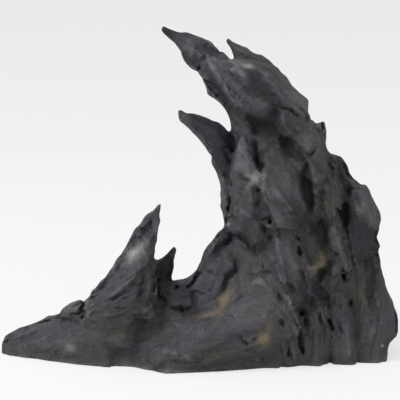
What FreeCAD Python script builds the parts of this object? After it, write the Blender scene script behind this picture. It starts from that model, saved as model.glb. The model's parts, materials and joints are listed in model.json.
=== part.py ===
import FreeCAD, Part
import Sketcher
import os
from dataclasses import dataclass

# Resin cave ornament in millimetres. A hollow rock shell in two halves stands on its open rim, with an
# arched cave mouth at the back. Stones that could not be drawn out of the shell's mould are cast by
# themselves and bonded to it face to face, and the ones that stand out far are pinned with dowels.
# +X is the viewer's right, +Y is away from the viewer and +Z is up. The origin is at the middle of the
# footprint, on the surface that the ornament stands on.

doc = FreeCAD.newDocument("cave_ornament")
sheet = doc.addObject("Spreadsheet::Sheet", "Dims")
sheet_rows = []


@dataclass
class Sizes:
    """Driving sizes in millimetres. A rock's length is up its own axis."""

    # Where the mound's middle stands from the middle of the whole footprint.
    mound_x: float = 12.4
    mound_y: float = -2.4
    # The hollow inside, and the mouth at the back and how far it stands from the mound's middle.
    wall: float = 6
    mouth_middle: float = 9
    mouth_width: float = 60
    mouth_height: float = 52
    # The seam between the shell's halves, its bosses and its dowels.
    seam_offset: float = 2
    boss_diameter: float = 11
    boss_length: float = 16
    seam_dowel_diameter: float = 4
    seam_dowel_length: float = 12
    dowel_clearance: float = 0.15
    dowel_end_gap: float = 0.5
    # Larger than the ornament: how far the blocks reach that cut whole sides away.
    work_space: float = 400
    # The shell's two rocks.
    mound_length: float = 64
    mound_width: float = 200
    mound_depth: float = 86
    core_length: float = 118
    core_width: float = 108
    core_depth: float = 66
    # The stones.
    crest_core_length: float = 101
    crest_core_width: float = 87
    crest_core_depth: float = 62
    toe_stone_length: float = 79
    toe_stone_width: float = 55
    toe_stone_depth: float = 52
    spire_left_length: float = 85
    spire_left_width: float = 41
    spire_left_depth: float = 38
    horn_long_length: float = 68
    horn_long_width: float = 31
    horn_long_depth: float = 26
    buttress_right_length: float = 74
    buttress_right_width: float = 34
    buttress_right_depth: float = 64
    back_pier_right_length: float = 104
    back_pier_right_width: float = 50
    back_pier_right_depth: float = 40
    back_pier_left_length: float = 62
    back_pier_left_width: float = 44
    back_pier_left_depth: float = 40
    buttress_front_length: float = 80
    buttress_front_width: float = 54
    buttress_front_depth: float = 42
    hump_right_length: float = 44
    hump_right_width: float = 23
    hump_right_depth: float = 38
    slab_back_right_length: float = 46
    slab_back_right_width: float = 31
    slab_back_right_depth: float = 36
    back_slab_high_length: float = 74
    back_slab_high_width: float = 48
    back_slab_high_depth: float = 30
    lintel_slab_length: float = 56
    lintel_slab_width: float = 30
    lintel_slab_depth: float = 30
    crest_slab_length: float = 65
    crest_slab_width: float = 35
    crest_slab_depth: float = 30
    horn_second_length: float = 67
    horn_second_width: float = 25
    horn_second_depth: float = 26
    neck_ridge_length: float = 68
    neck_ridge_width: float = 37
    neck_ridge_depth: float = 40
    horn_mid_length: float = 59
    horn_mid_width: float = 18
    horn_mid_depth: float = 22
    slab_broad_length: float = 48
    slab_broad_width: float = 31
    slab_broad_depth: float = 30
    slab_shoulder_length: float = 45
    slab_shoulder_width: float = 31
    slab_shoulder_depth: float = 32
    slab_point_length: float = 47
    slab_point_width: float = 25
    slab_point_depth: float = 26
    neck_slab_length: float = 33
    neck_slab_width: float = 25
    neck_slab_depth: float = 28
    apron_slab_length: float = 91
    apron_slab_width: float = 34
    apron_slab_depth: float = 30
    rib_right_a_length: float = 62
    rib_right_a_width: float = 26
    rib_right_a_depth: float = 30
    rib_right_b_length: float = 50
    rib_right_b_width: float = 26
    rib_right_b_depth: float = 34
    rib_right_c_length: float = 46
    rib_right_c_width: float = 22
    rib_right_c_depth: float = 28
    back_slab_low_length: float = 54
    back_slab_low_width: float = 30
    back_slab_low_depth: float = 26
    spire_rib_length: float = 39
    spire_rib_width: float = 17
    spire_rib_depth: float = 20
    spire_small_length: float = 35
    spire_small_width: float = 14
    spire_small_depth: float = 20
    toe_boulder_length: float = 24
    toe_boulder_width: float = 19
    toe_boulder_depth: float = 26
    fin_right_length: float = 36
    fin_right_width: float = 22
    fin_right_depth: float = 24


def write_cells(values):
    """Write named values into the sheet, each in a cell of that name."""
    for name, value in values.items():
        sheet_rows.append(name)
        row = len(sheet_rows)
        sheet.set(f"A{row}", name)
        sheet.set(f"B{row}", str(value))
        sheet.setAlias(f"B{row}", name)
    doc.recompute([sheet])


write_cells(vars(Sizes()))


# ---- Sketches and lofts -----------------------------------------------------------------------------
def polygon_sketch(body, name, points, height, shift="0"):
    """Closed polygon on the body's XY plane, its corners tied to the sheet.

    points holds (x expression, y expression) pairs. height and shift move the sketch's plane.
    """
    plane = [feature for feature in body.Origin.OriginFeatures if feature.Role == "XY_Plane"][0]
    sketch = body.newObject("Sketcher::SketchObject", name)
    sketch.AttachmentSupport = [(plane, "")]
    sketch.MapMode = "FlatFace"
    sketch.setExpression(".AttachmentOffset.Base.z", height)
    sketch.setExpression(".AttachmentOffset.Base.x", shift)
    corners = [FreeCAD.Vector(*(sheet.evalExpression(text) for text in pair), 0) for pair in points]
    ends = corners[1:] + corners[:1]
    sketch.addGeometry([Part.LineSegment(a, b) for a, b in zip(corners, ends)], False)
    for index, pair in enumerate(points):
        following = (index + 1) % len(points)
        sketch.addConstraint(Sketcher.Constraint("Coincident", index, 2, following, 1))
        for axis, text, value in zip(("DistanceX", "DistanceY"), pair, corners[index]):
            number = sketch.addConstraint(Sketcher.Constraint(axis, -1, 1, index, 1, value))
            sketch.setExpression(f"Constraints[{number}]", text)
    return sketch


def loft(body, sketches):
    """Straight-sided loft through the sketches of a body."""
    feature = body.newObject("PartDesign::AdditiveLoft", f"{body.Name}_loft")
    feature.Profile = sketches[0]
    feature.Sections = sketches[1:]
    feature.Ruled = True
    feature.Closed = False
    return feature


def flat_faced(name, body):
    """Solid with a body's corners and edges, its sides made true planes.

    A straight loft gives every side as a spline surface, though each of these is flat. Planes cut and
    fuse cleanly, and their bounds are exact.
    """
    drawn = body.Shape.copy()
    drawn.Placement = FreeCAD.Placement()
    outlines = [[vertex.Point for vertex in face.OuterWire.OrderedVertexes] for face in drawn.Faces]
    faces = [Part.Face(Part.makePolygon(corners + corners[:1])) for corners in outlines]
    feature = doc.addObject("Part::Feature", name)
    feature.Shape = Part.Solid(Part.Shell(faces))
    feature.setExpression("Placement", f"{body.Name}.Placement")
    return feature


# ---- Boolean steps ----------------------------------------------------------------------------------
def cut(name, base, tool):
    """Base with the tool taken away."""
    result = doc.addObject("Part::Cut", name)
    result.Base = base
    result.Tool = tool
    return result


def cut_by_all(name, base, tools):
    """Base with each tool taken away in turn."""
    for number, tool in enumerate(tools):
        base = cut(f"{name}_cut_{number}", base, tool)
    return base


def fuse(name, shapes):
    """All the shapes joined."""
    result = doc.addObject("Part::MultiFuse", name)
    result.Shapes = shapes
    return result


def box(name, corner, edges):
    """Box from its lowest corner and the lengths of its edges, as expressions."""
    block = doc.addObject("Part::Box", name)
    for prop, text in zip(("Length", "Width", "Height"), edges):
        block.setExpression(prop, text)
    for axis, text in zip("xyz", corner):
        block.setExpression(f".Placement.Base.{axis}", text)
    return block


def rod(name, diameter, length, placement):
    """Round rod along its placement's Z axis, as expressions."""
    cylinder = doc.addObject("Part::Cylinder", name)
    cylinder.setExpression("Radius", f"({diameter})/2")
    cylinder.setExpression("Height", length)
    cylinder.setExpression("Placement", placement)
    return cylinder


def vector(x, y, z):
    """Expression for a point."""
    return f"create(<<vector>>; {x}; {y}; {z})"


def turned(axis, angle):
    """Expression for a turn about one axis."""
    return f"create(<<rotation>>; {vector(*axis)}; {angle})"


def placed(position, rotation):
    """Expression for a placement."""
    return f"create(<<placement>>; {position}; {rotation})"


ALONG_Y = turned((1, 0, 0), -90)
# Where the plane of the seam stands along Y.
SEAM = "(Dims.mound_y + Dims.seam_offset)"

# ---- What is cut away: below the floor, each side of the seam, and the cave mouth --------------------
half_space = "Dims.work_space/2"
whole_space = ["Dims.work_space"]*3
floor_block = box("floor_block", (f"-{half_space}", f"-{half_space}", "-Dims.work_space"), whole_space)
front_corner = (f"-{half_space}", f"{SEAM} - Dims.work_space", f"-{half_space}")
front_space = box("front_space", front_corner, whole_space)
rear_space = box("rear_space", (f"-{half_space}", SEAM, f"-{half_space}"), whole_space)

mouth_left = "Dims.mound_x + Dims.mouth_middle - Dims.mouth_width/2"
mouth_spring = "Dims.mouth_height - Dims.mouth_width/2"
mouth_opening = box(
    "mouth_opening",
    (mouth_left, SEAM, f"-{half_space}"),
    ("Dims.mouth_width", "Dims.work_space", f"{half_space} + {mouth_spring}"),
)
mouth_arch = rod(
    "mouth_arch",
    "Dims.mouth_width",
    "Dims.work_space",
    placed(vector("Dims.mound_x + Dims.mouth_middle", SEAM, mouth_spring), ALONG_Y),
)
mouth_space = fuse("mouth_space", [mouth_opening, mouth_arch])


# ---- Tapering rocks ---------------------------------------------------------------------------------
# Corner shares of a rock's half width (local X) and half depth (local Y), round from its left.
SLAB = [(-1, -0.15), (-0.55, -0.85), (0.3, -1), (1, -0.25), (0.6, 0.8), (-0.45, 1)]
CLAW = [(-1, -0.1), (-0.35, -0.9), (0.35, -1), (1, -0.1), (0.5, 0.85), (-0.45, 0.95)]
LUMP = [(-1, 0), (-0.6, -0.8), (0.5, -1), (1, -0.2), (0.7, 0.75), (-0.4, 1)]
MASS = [(-1, -0.35), (-0.6, -0.95), (0.15, -1), (0.8, -0.7), (1, 0.1), (0.65, 0.85), (-0.1, 1), (-0.8, 0.7)]
MOUND = [
    (-1, 0.24), (-0.84, -0.52), (-0.52, -0.64), (-0.32, -1), (0, -0.88), (0.36, -0.64), (0.6, -0.28),
    (0.92, -0.2), (1, 0.32), (0.8, 0.92), (0, 1), (-0.68, 0.8),
]
CORE = [
    (-1, -0.3), (-0.6, -0.9), (-0.05, -1), (0.35, -0.62), (1, -0.3), (1, 0.4), (0.65, 0.9), (-0.1, 1),
    (-0.85, 0.7),
]


@dataclass
class Rock:
    """One tapering rock that grows from a place on its host.

    The place is at shares of the host's half width, half depth and length, in the host's own axes. The
    rock's own Z axis leans towards the viewer's left by lean and towards the viewer by reach. A station
    holds (share of the length, sideways shift as a share of the width, share of the width and depth).
    """

    name: str
    host: str
    place: tuple
    lean: float
    reach: float
    outline: list
    stations: list
    turn: float = 0

    @property
    def blank_name(self):
        """Name of the whole rock before its seat is cut."""
        return f"{self.name}_blank"


def seat_on(host, place):
    """Expression for a place on a rock, at shares of its half width, half depth and length."""
    across, back, up = place
    size_of = f"Dims.{host}"
    offset = vector(f"{size_of}_width/2*{across}", f"{size_of}_depth/2*{back}", f"{size_of}_length*{up}")
    return f"{host}_blank.Placement.Base + {host}_blank.Placement.Rotation*{offset}"


def rock_loft(rock, name, inset="0", drop="0"):
    """Loft through the rock's stations. Its sides can be set in evenly and moved down, for a hollow."""
    body = doc.addObject("PartDesign::Body", name)
    half_depth = f"Dims.{rock.name}_depth/2"
    spread = f"Dims.{rock.name}_width/Dims.{rock.name}_depth"
    sketches = []
    for index, (along, shift, taper) in enumerate(rock.stations):
        deep = f"({half_depth}*{taper} - {inset})"
        points = [(f"{deep}*{spread}*{x}", f"{deep}*{y}") for x, y in rock.outline]
        height = f"Dims.{rock.name}_length*{along} - {drop}"
        sideways = f"Dims.{rock.name}_width*{shift}"
        sketches.append(polygon_sketch(body, f"{name}_station_{index}", points, height, sideways))
    loft(body, sketches)
    return body


def rock_blank(rock):
    """Whole rock, with the part that is later cut away where it sits."""
    write_cells({f"{rock.name}_{angle}": getattr(rock, angle) for angle in ("lean", "reach", "turn")})
    body = rock_loft(rock, rock.blank_name)
    rotation = " * ".join([
        turned((0, 1, 0), f"-Dims.{rock.name}_lean"),
        turned((1, 0, 0), f"Dims.{rock.name}_reach"),
        turned((0, 0, 1), f"Dims.{rock.name}_turn"),
    ])
    position = seat_on(rock.host, rock.place) if rock.host else vector(*rock.place)
    body.setExpression("Placement", placed(position, rotation))
    return body


# ---- Shell: a low mound and a tall core, hollow inside -----------------------------------------------
MOUND_ROCK = Rock("mound", "", ("Dims.mound_x", "Dims.mound_y", "0"), 0, 0, MOUND, [
    (0, 0, 1), (0.19, 0.01, 0.98), (0.41, 0.055, 0.89), (0.66, 0.15, 0.66), (1, 0.21, 0.48),
])
CORE_ROCK = Rock("core", "mound", (0.44, 0.05, 0), 0, 0, CORE, [
    (0, 0, 0.92), (0.18, 0, 1), (0.36, 0, 0.98), (0.53, -0.01, 0.92), (0.71, 0.02, 0.8),
    (0.88, -0.01, 0.69), (1, -0.07, 0.56),
])


def hollow_of(rock, stations):
    """Hollow inside a rock, a wall's thickness in from its sides and down from its top."""
    inner = Rock(**{**rock.__dict__, "stations": stations})
    body = rock_loft(inner, f"{rock.name}_hollow", "Dims.wall", "Dims.wall")
    body.setExpression("Placement", f"{rock.blank_name}.Placement")
    return body


mound_blank = rock_blank(MOUND_ROCK)
core_blank = rock_blank(CORE_ROCK)
mound_hollow = hollow_of(MOUND_ROCK, MOUND_ROCK.stations)
core_hollow = hollow_of(CORE_ROCK, CORE_ROCK.stations[:-1])
doc.recompute()
rock_solid = fuse("rock_solid", [flat_faced("mound_flat", mound_blank), flat_faced("core_flat", core_blank)])
cave_space = fuse("cave_space", [
    flat_faced("mound_hollow_flat", mound_hollow),
    flat_faced("core_hollow_flat", core_hollow),
])

# ---- Cast stones ------------------------------------------------------------------------------------
# Tapers that several of the stones at the back share.
BROAD_TAPER = [(0, 0, 0.85), (0.3, 0, 1), (0.6, 0, 0.9), (0.85, 0, 0.55), (1, 0, 0.15)]
BENT_TAPER = [
    (0, 0, 0.85), (0.3, 0.07, 1), (0.6, 0.08, 0.9), (0.85, 0.04, 0.55), (1, 0, 0.15),
]

# The stones in the order in which they are set: a stone gives way to those before it.
STONES = [
    Rock("crest_core", "core", (-0.05, -0.03, 0.74), 30, 3, MASS, [
        (-0.08, 0, 1), (0.17, 0.05, 0.9), (0.39, 0.14, 0.72), (0.62, 0.22, 0.53),
        (0.79, 0.2, 0.47), (0.94, 0.14, 0.38), (1.08, 0.04, 0.2),
    ]),
    Rock("toe_stone", "mound", (-0.57, -0.16, 0.15), 95, -12, SLAB, [
        (0.06, 0, 1), (0.32, 0.02, 0.9), (0.54, 0, 0.71), (0.76, 0, 0.52),
        (0.91, 0, 0.36), (1, 0, 0.14),
    ]),
    Rock("spire_left", "mound", (-0.64, -0.4, 0.27), -20, -3, CLAW, [
        (-0.03, -0.03, 1), (0.17, -0.05, 1), (0.33, 0, 0.8), (0.48, 0, 0.58),
        (0.61, 0, 0.44), (0.75, 0, 0.33), (0.87, 0, 0.21), (1, 0, 0.06),
    ]),
    Rock("horn_long", "crest_core", (0.37, 0.06, 0.74), 52, 5, CLAW, [
        (0, 0, 1), (0.24, -0.04, 0.89), (0.4, -0.02, 0.7), (0.54, 0.05, 0.66),
        (0.67, 0.05, 0.55), (0.79, 0.04, 0.32), (0.89, 0, 0.16), (1, 0, 0.08),
    ]),
    Rock("buttress_right", "core", (0.88, 0.36, -0.08), -5, 7, MASS, [
        (0, -0.05, 0.9), (0.22, 0, 1), (0.5, -0.02, 0.94), (0.73, -0.09, 0.58),
        (0.95, -0.09, 0.26),
    ]),
    Rock("back_pier_right", "core", (0.44, 0.7, -0.05), 6, -6, SLAB, BROAD_TAPER, -10),
    Rock("back_pier_left", "mound", (-0.46, 0.6, -0.09), -8, -4, SLAB, BROAD_TAPER, 10),
    Rock("buttress_front", "core", (-0.31, -0.52, 0.05), -5, 8, SLAB, [
        (-0.06, 0, 0.75), (0.2, 0, 0.92), (0.52, -0.02, 0.75), (0.74, -0.02, 0.57),
        (0.93, 0, 0.3),
    ]),
    Rock("hump_right", "core", (0.89, -0.27, 0.56), 16, 0, LUMP, [
        (0, -0.2, 1), (0.39, -0.07, 1), (0.7, 0.02, 0.9), (0.91, 0, 0.47),
    ]),
    Rock("slab_back_right", "core", (0.66, 0.2, 0.67), 11, 0, LUMP, [
        (-0.04, -0.03, 1), (0.43, 0.02, 0.85), (0.78, -0.02, 0.52), (1, 0, 0.26),
    ]),
    Rock("back_slab_high", "crest_core", (0.05, 0.75, -0.06), 22, 4, SLAB, BENT_TAPER, 6),
    Rock("lintel_slab", "core", (0.37, 0.76, 0.51), 72, 2, SLAB, [
        (0, 0, 0.75), (0.25, 0.1, 1), (0.6, 0.13, 0.95), (0.88, 0.06, 0.6),
        (1, 0, 0.25),
    ]),
    Rock("crest_slab", "crest_core", (0.75, -0.5, 0.5), 53, 7, SLAB, [
        (0, -0.09, 1), (0.3, 0.03, 1), (0.48, 0.07, 0.94), (0.65, 0.06, 0.74),
        (0.82, 0, 0.42), (1, 0, 0.09),
    ]),
    Rock("horn_second", "crest_core", (0.79, 0.08, 0.45), 41, 3, CLAW, [
        (0, -0.06, 1), (0.19, 0, 0.96), (0.41, 0.02, 0.91), (0.65, 0.02, 0.79),
        (0.86, 0, 0.41), (1, 0, 0.1),
    ]),
    Rock("neck_ridge", "mound", (-0.33, -0.12, 0.39), -32, 3, SLAB, [
        (0.06, 0.13, 1), (0.32, 0.24, 0.94), (0.5, 0.33, 0.81), (0.66, 0.28, 0.72),
        (0.82, 0.23, 0.61), (0.96, 0.14, 0.32),
    ]),
    Rock("horn_mid", "crest_core", (-0.48, -0.27, 0.32), 33, 4, CLAW, [
        (0, -0.05, 0.84), (0.27, 0.29, 0.83), (0.47, 0.46, 1), (0.63, 0.48, 0.95),
        (0.78, 0.3, 0.7), (0.9, 0.07, 0.4), (1, 0, 0.14),
    ]),
    Rock("slab_broad", "crest_core", (-0.09, -0.84, 0.02), 7, -5, SLAB, [
        (0, 0, 1), (0.42, 0.03, 0.94), (0.7, 0.05, 0.78), (0.93, 0.04, 0.49),
        (1, 0.02, 0.19),
    ]),
    Rock("slab_shoulder", "crest_core", (0.67, -0.5, 0.16), 26, 5, SLAB, [
        (0, -0.09, 1), (0.4, 0, 0.96), (0.74, 0.06, 0.74), (0.94, 0.07, 0.35),
    ]),
    Rock("slab_point", "crest_core", (-0.45, -0.81, 0.19), 3, 0, SLAB, [
        (0, 0, 1), (0.36, 0, 0.81), (0.65, -0.02, 0.59), (0.81, -0.02, 0.33),
        (1, 0, 0.07),
    ]),
    Rock("neck_slab", "core", (-0.46, -0.64, 0.87), 179, 21, SLAB, [
        (0, 0, 1), (0.38, 0.09, 0.95), (0.64, 0.13, 0.9), (0.86, 0.05, 0.47),
        (1, 0, 0.1),
    ]),
    Rock("apron_slab", "mound", (0.43, -0.68, 0.6), 109, 4, SLAB, [
        (0, -0.07, 0.97), (0.3, -0.12, 1), (0.59, -0.16, 0.89), (0.82, -0.15, 0.64),
        (1, -0.07, 0.34),
    ]),
    Rock("rib_right_a", "core", (0.21, -0.5, 0.03), 1, 10, SLAB, [
        (-0.05, 0.02, 0.8), (0.25, 0.02, 0.95), (0.61, 0.03, 0.6), (0.96, 0, 0.25),
    ]),
    Rock("rib_right_b", "core", (0.6, -0.3, -0.01), 8, 13, SLAB, [
        (-0.1, -0.02, 0.8), (0.25, -0.02, 0.95), (0.64, -0.02, 0.62), (0.93, 0, 0.28),
    ]),
    Rock("rib_right_c", "core", (0.51, -0.39, 0.48), 13, 5, SLAB, [
        (0, 0.05, 1), (0.36, 0.05, 0.89), (0.7, 0.02, 0.7), (0.95, 0, 0.32),
    ]),
    Rock("back_slab_low", "core", (-0.42, 0.75, 0.5), 12, -2, SLAB, [
        (0, 0, 1), (0.3, 0.06, 0.9), (0.6, 0.06, 0.62), (0.85, 0.03, 0.3),
        (1, 0, 0.08),
    ], -8),
    Rock("spire_rib", "mound", (-0.47, -0.67, 0.44), -11, -18, SLAB, [
        (0.06, -0.03, 1), (0.38, 0.05, 0.71), (0.66, 0.06, 0.46), (0.96, 0, 0.16),
    ]),
    Rock("spire_small", "mound", (-0.36, 0.07, 0.53), -15, 3, CLAW, [
        (0, -0.04, 1), (0.38, -0.15, 0.92), (0.65, -0.24, 0.86), (0.79, -0.09, 0.51),
        (1, 0, 0.12),
    ]),
    Rock("toe_boulder", "mound", (-0.75, -0.21, 0.39), 82, -5, LUMP, [
        (0.1, 0, 1), (0.44, 0.14, 0.73), (0.72, 0.1, 0.52), (0.96, 0, 0.17),
    ]),
    Rock("fin_right", "crest_core", (0.8, -0.1, 0.11), 0, 3, CLAW, [
        (0, -0.04, 1), (0.49, -0.14, 0.6), (0.82, -0.12, 0.42), (1, 0, 0.09),
    ]),
]
bodies = {stone.name: rock_blank(stone) for stone in STONES}
doc.recompute()
blanks = {name: flat_faced(f"{name}_flat", body) for name, body in bodies.items()}


# ---- Dowels -----------------------------------------------------------------------------------------
@dataclass
class Dowel:
    """Round pin in blind holes across a joint face, parallel to the Z axis of the rock that it follows.

    joint is how far up that rock the face lies, as a share of its length. below and above are how far
    the pin goes into each side. sideways and forward set the pin off the rock's axis.
    """

    name: str
    rock: str
    pieces: tuple
    joint: float
    below: float
    above: float
    diameter: float
    sideways: float = 0
    forward: float = 0


DOWELS = [
    Dowel("crest_dowel_front", "core", ("front_shell", "crest_core"), 1, 14, 20, 6, -8, 8),
    Dowel("crest_dowel_rear", "core", ("rear_shell", "crest_core"), 1, 14, 20, 6, -8, -9),
    Dowel("horn_long_dowel", "horn_long", ("crest_core", "horn_long"), 0.56, 14, 12, 3),
    Dowel("horn_mid_dowel", "horn_mid", ("crest_core", "horn_mid"), 0.17, 8, 12, 3, 5),
    Dowel("spire_dowel", "spire_left", ("front_shell", "spire_left"), 0.14, 5, 22, 5),
]


def dowel_rod(dowel, name, extra_radius="0", end_gap="0"):
    """Pin, or with its clearances the hole for it."""
    size_of = f"Dims.{dowel.name}"
    foot = vector(
        f"{size_of}_sideways",
        f"-{size_of}_forward",
        f"Dims.{dowel.rock}_length*{dowel.joint} - {size_of}_below - {end_gap}",
    )
    axis = f"{dowel.rock}_blank.Placement"
    placement = placed(f"{axis}.Base + {axis}.Rotation*{foot}", f"{axis}.Rotation")
    length = f"{size_of}_below + {size_of}_above + 2*{end_gap}"
    return rod(name, f"{size_of}_diameter + 2*{extra_radius}", length, placement)


# Each piece's finished shape, and the holes that each pinned piece gets.
nodes = {}
holes = {}
for dowel in DOWELS:
    driving = ("below", "above", "diameter", "sideways", "forward")
    write_cells({f"{dowel.name}_{name}": getattr(dowel, name) for name in driving})
    nodes[dowel.name] = dowel_rod(dowel, dowel.name)
    hole = dowel_rod(dowel, f"{dowel.name}_hole", "Dims.dowel_clearance", "Dims.dowel_end_gap")
    for piece in dowel.pieces:
        holes.setdefault(piece, []).append(hole)

# ---- Shell halves -----------------------------------------------------------------------------------
# Bosses on the inside walls carry the dowels across the seam: (rock, its left end -1 or its right end 1,
# share of its length).
BOSSES = [(MOUND_ROCK, -1, 0.45), (CORE_ROCK, -1, 0.72), (CORE_ROCK, 1, 0.12), (CORE_ROCK, 1, 0.5)]
# The seam crosses each end wall this far out, as a share of the rock's half width.
END_REACH = 0.94
# How far a boss's middle stands clear of the inside face of its wall, as a share of its diameter. The
# rest of the boss sinks into the wall.
BOSS_STANDOFF = 0.125


def at_share(rock, along):
    """Sideways shift and taper of a rock at a share of its length."""
    for (low, *below), (high, *above) in zip(rock.stations, rock.stations[1:]):
        if low <= along <= high:
            blend = (along - low) / (high - low)
            return [a + blend*(b - a) for a, b in zip(below, above)]
    raise ValueError(f"{rock.name} has no station at {along}")


def boss_centre(rock, end, along):
    """Expressions for the place of a boss's middle, across and up the rock, beside one of its end walls."""
    shift, taper = at_share(rock, along)
    name = f"Dims.{rock.name}"
    inner_depth = f"({name}_depth/2*{taper:.4f} - Dims.wall)"
    half_width = f"{inner_depth}*{name}_width/{name}_depth"
    reach = f"({half_width}*{END_REACH} - Dims.boss_diameter*{BOSS_STANDOFF})"
    return f"{name}_width*{shift:.4f} + {end}*{reach}", f"{name}_length*{along} - Dims.wall"


def rods_along_y(name, diameter, length):
    """One rod per boss, across the seam."""
    rods = []
    for number, (rock, end, along) in enumerate(BOSSES):
        x, z = boss_centre(rock, end, along)
        start = vector(f"{rock.blank_name}.Placement.Base.x/1mm + {x}", f"{SEAM} - ({length})/2", z)
        rods.append(rod(f"{name}_{number}", diameter, length, placed(start, ALONG_Y)))
    return rods


boss_rods = fuse("boss_rods", rods_along_y("boss", "Dims.boss_diameter", "Dims.boss_length"))
bosses = doc.addObject("Part::MultiCommon", "bosses")
bosses.Shapes = [rock_solid, boss_rods]
seam_holes = fuse("seam_holes", rods_along_y(
    "seam_hole",
    "Dims.seam_dowel_diameter + 2*Dims.dowel_clearance",
    "Dims.seam_dowel_length + 2*Dims.dowel_end_gap",
))
nodes["seam_dowels"] = doc.addObject("Part::Compound", "seam_dowels")
nodes["seam_dowels"].Links = rods_along_y("seam_dowel", "Dims.seam_dowel_diameter", "Dims.seam_dowel_length")

hollow_rock = cut("hollow_rock", rock_solid, cave_space)
bossed_rock = fuse("bossed_rock", [hollow_rock, bosses])
on_floor = cut("rock_on_floor", bossed_rock, floor_block)
front_cuts = [rear_space, seam_holes] + holes["front_shell"]
rear_cuts = [front_space, mouth_space, seam_holes] + holes["rear_shell"]
nodes["front_shell"] = cut_by_all("front_shell", on_floor, front_cuts)
nodes["rear_shell"] = cut_by_all("rear_shell", on_floor, rear_cuts)

# ---- Stones cut to their seats ----------------------------------------------------------------------
doc.recompute()
earlier = []
for stone in STONES:
    blank = blanks[stone.name]
    tools = [rock_solid, floor_block, mouth_space]
    tools += [other for other in earlier if other.Shape.BoundBox.intersect(blank.Shape.BoundBox)]
    nodes[stone.name] = cut_by_all(stone.name, blank, tools + holes.get(stone.name, []))
    earlier.append(blank)
doc.recompute()

# ---- Checks and files -------------------------------------------------------------------------------
for name, node in nodes.items():
    node.Label = name
for item in doc.Objects:
    if "Invalid" in item.State or "Error" in item.State:
        raise RuntimeError(f"{item.Name} failed: {item.State}")
for name, node in nodes.items():
    if node.Shape.isNull() or not node.Shape.isValid():
        raise RuntimeError(f"{name} has no valid shape")

os.makedirs("parts", exist_ok=True)
for name, node in nodes.items():
    node.Shape.exportStep(f"parts/{name}.step")
    bounds = node.Shape.BoundBox
    print(f"{name}: {len(node.Shape.Solids)} solid, {node.Shape.Volume/1000:.1f} cm3, "
          f"x {bounds.XMin:.1f}..{bounds.XMax:.1f} y {bounds.YMin:.1f}..{bounds.YMax:.1f} "
          f"z {bounds.ZMin:.1f}..{bounds.ZMax:.1f}")
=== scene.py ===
"""Looks of a hollow cast-resin cave ornament: a dark rock shaped like a breaking wave.

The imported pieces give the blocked-out form. Here they are joined into one signed distance field, worn,
cracked and roughened as one rock, and cut apart again along the same joints, so every casting keeps its
place and meets its neighbours face to face. Distances inside this file are millimetres, and only the
finished meshes, lamps and camera are in metres.
"""
import json
import logging
import math
from dataclasses import dataclass, field
from enum import Enum

import bpy
import numpy as np
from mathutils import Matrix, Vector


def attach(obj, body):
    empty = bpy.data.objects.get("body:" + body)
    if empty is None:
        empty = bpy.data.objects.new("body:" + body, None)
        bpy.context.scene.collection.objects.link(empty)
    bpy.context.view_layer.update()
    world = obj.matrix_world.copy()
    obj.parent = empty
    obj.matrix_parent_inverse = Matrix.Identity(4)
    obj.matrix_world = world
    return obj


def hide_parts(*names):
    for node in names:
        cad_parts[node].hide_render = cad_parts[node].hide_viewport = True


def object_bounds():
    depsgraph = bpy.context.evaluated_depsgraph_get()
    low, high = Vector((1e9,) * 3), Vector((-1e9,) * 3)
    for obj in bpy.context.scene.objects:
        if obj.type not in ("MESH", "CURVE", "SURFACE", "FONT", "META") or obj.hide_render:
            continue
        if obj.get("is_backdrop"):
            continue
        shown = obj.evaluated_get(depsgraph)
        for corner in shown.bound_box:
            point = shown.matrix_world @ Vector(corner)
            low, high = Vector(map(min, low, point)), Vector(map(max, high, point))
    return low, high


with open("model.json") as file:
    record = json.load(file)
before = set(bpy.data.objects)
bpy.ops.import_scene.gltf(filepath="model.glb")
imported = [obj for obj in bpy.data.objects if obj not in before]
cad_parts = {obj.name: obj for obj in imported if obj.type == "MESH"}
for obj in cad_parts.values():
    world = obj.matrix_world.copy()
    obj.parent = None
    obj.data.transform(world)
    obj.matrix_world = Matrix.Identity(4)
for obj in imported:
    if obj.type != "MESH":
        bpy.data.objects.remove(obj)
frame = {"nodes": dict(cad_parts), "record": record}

import openvdb
from mathutils import Vector

MM = 0.001
ROCK_SLOT = "rock_resin"
DOWEL_SLOT = "dowel_resin"
# Further than anything in the scene, the middle of a random value or a tone, and what keeps a place
# inside the last cell of a grid.
FAR = 1e6
MIDDLE = 0.5
LAST_CELL = 1.001
# Where sheets read the random lattices, how many spreads a blur reaches, and the least slope of a normal.
SHEET_LAYER = 0.37
BELL_REACH = 2.5
LEAST_SLOPE = 1e-6

log = logging.getLogger("cave_ornament")


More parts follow.
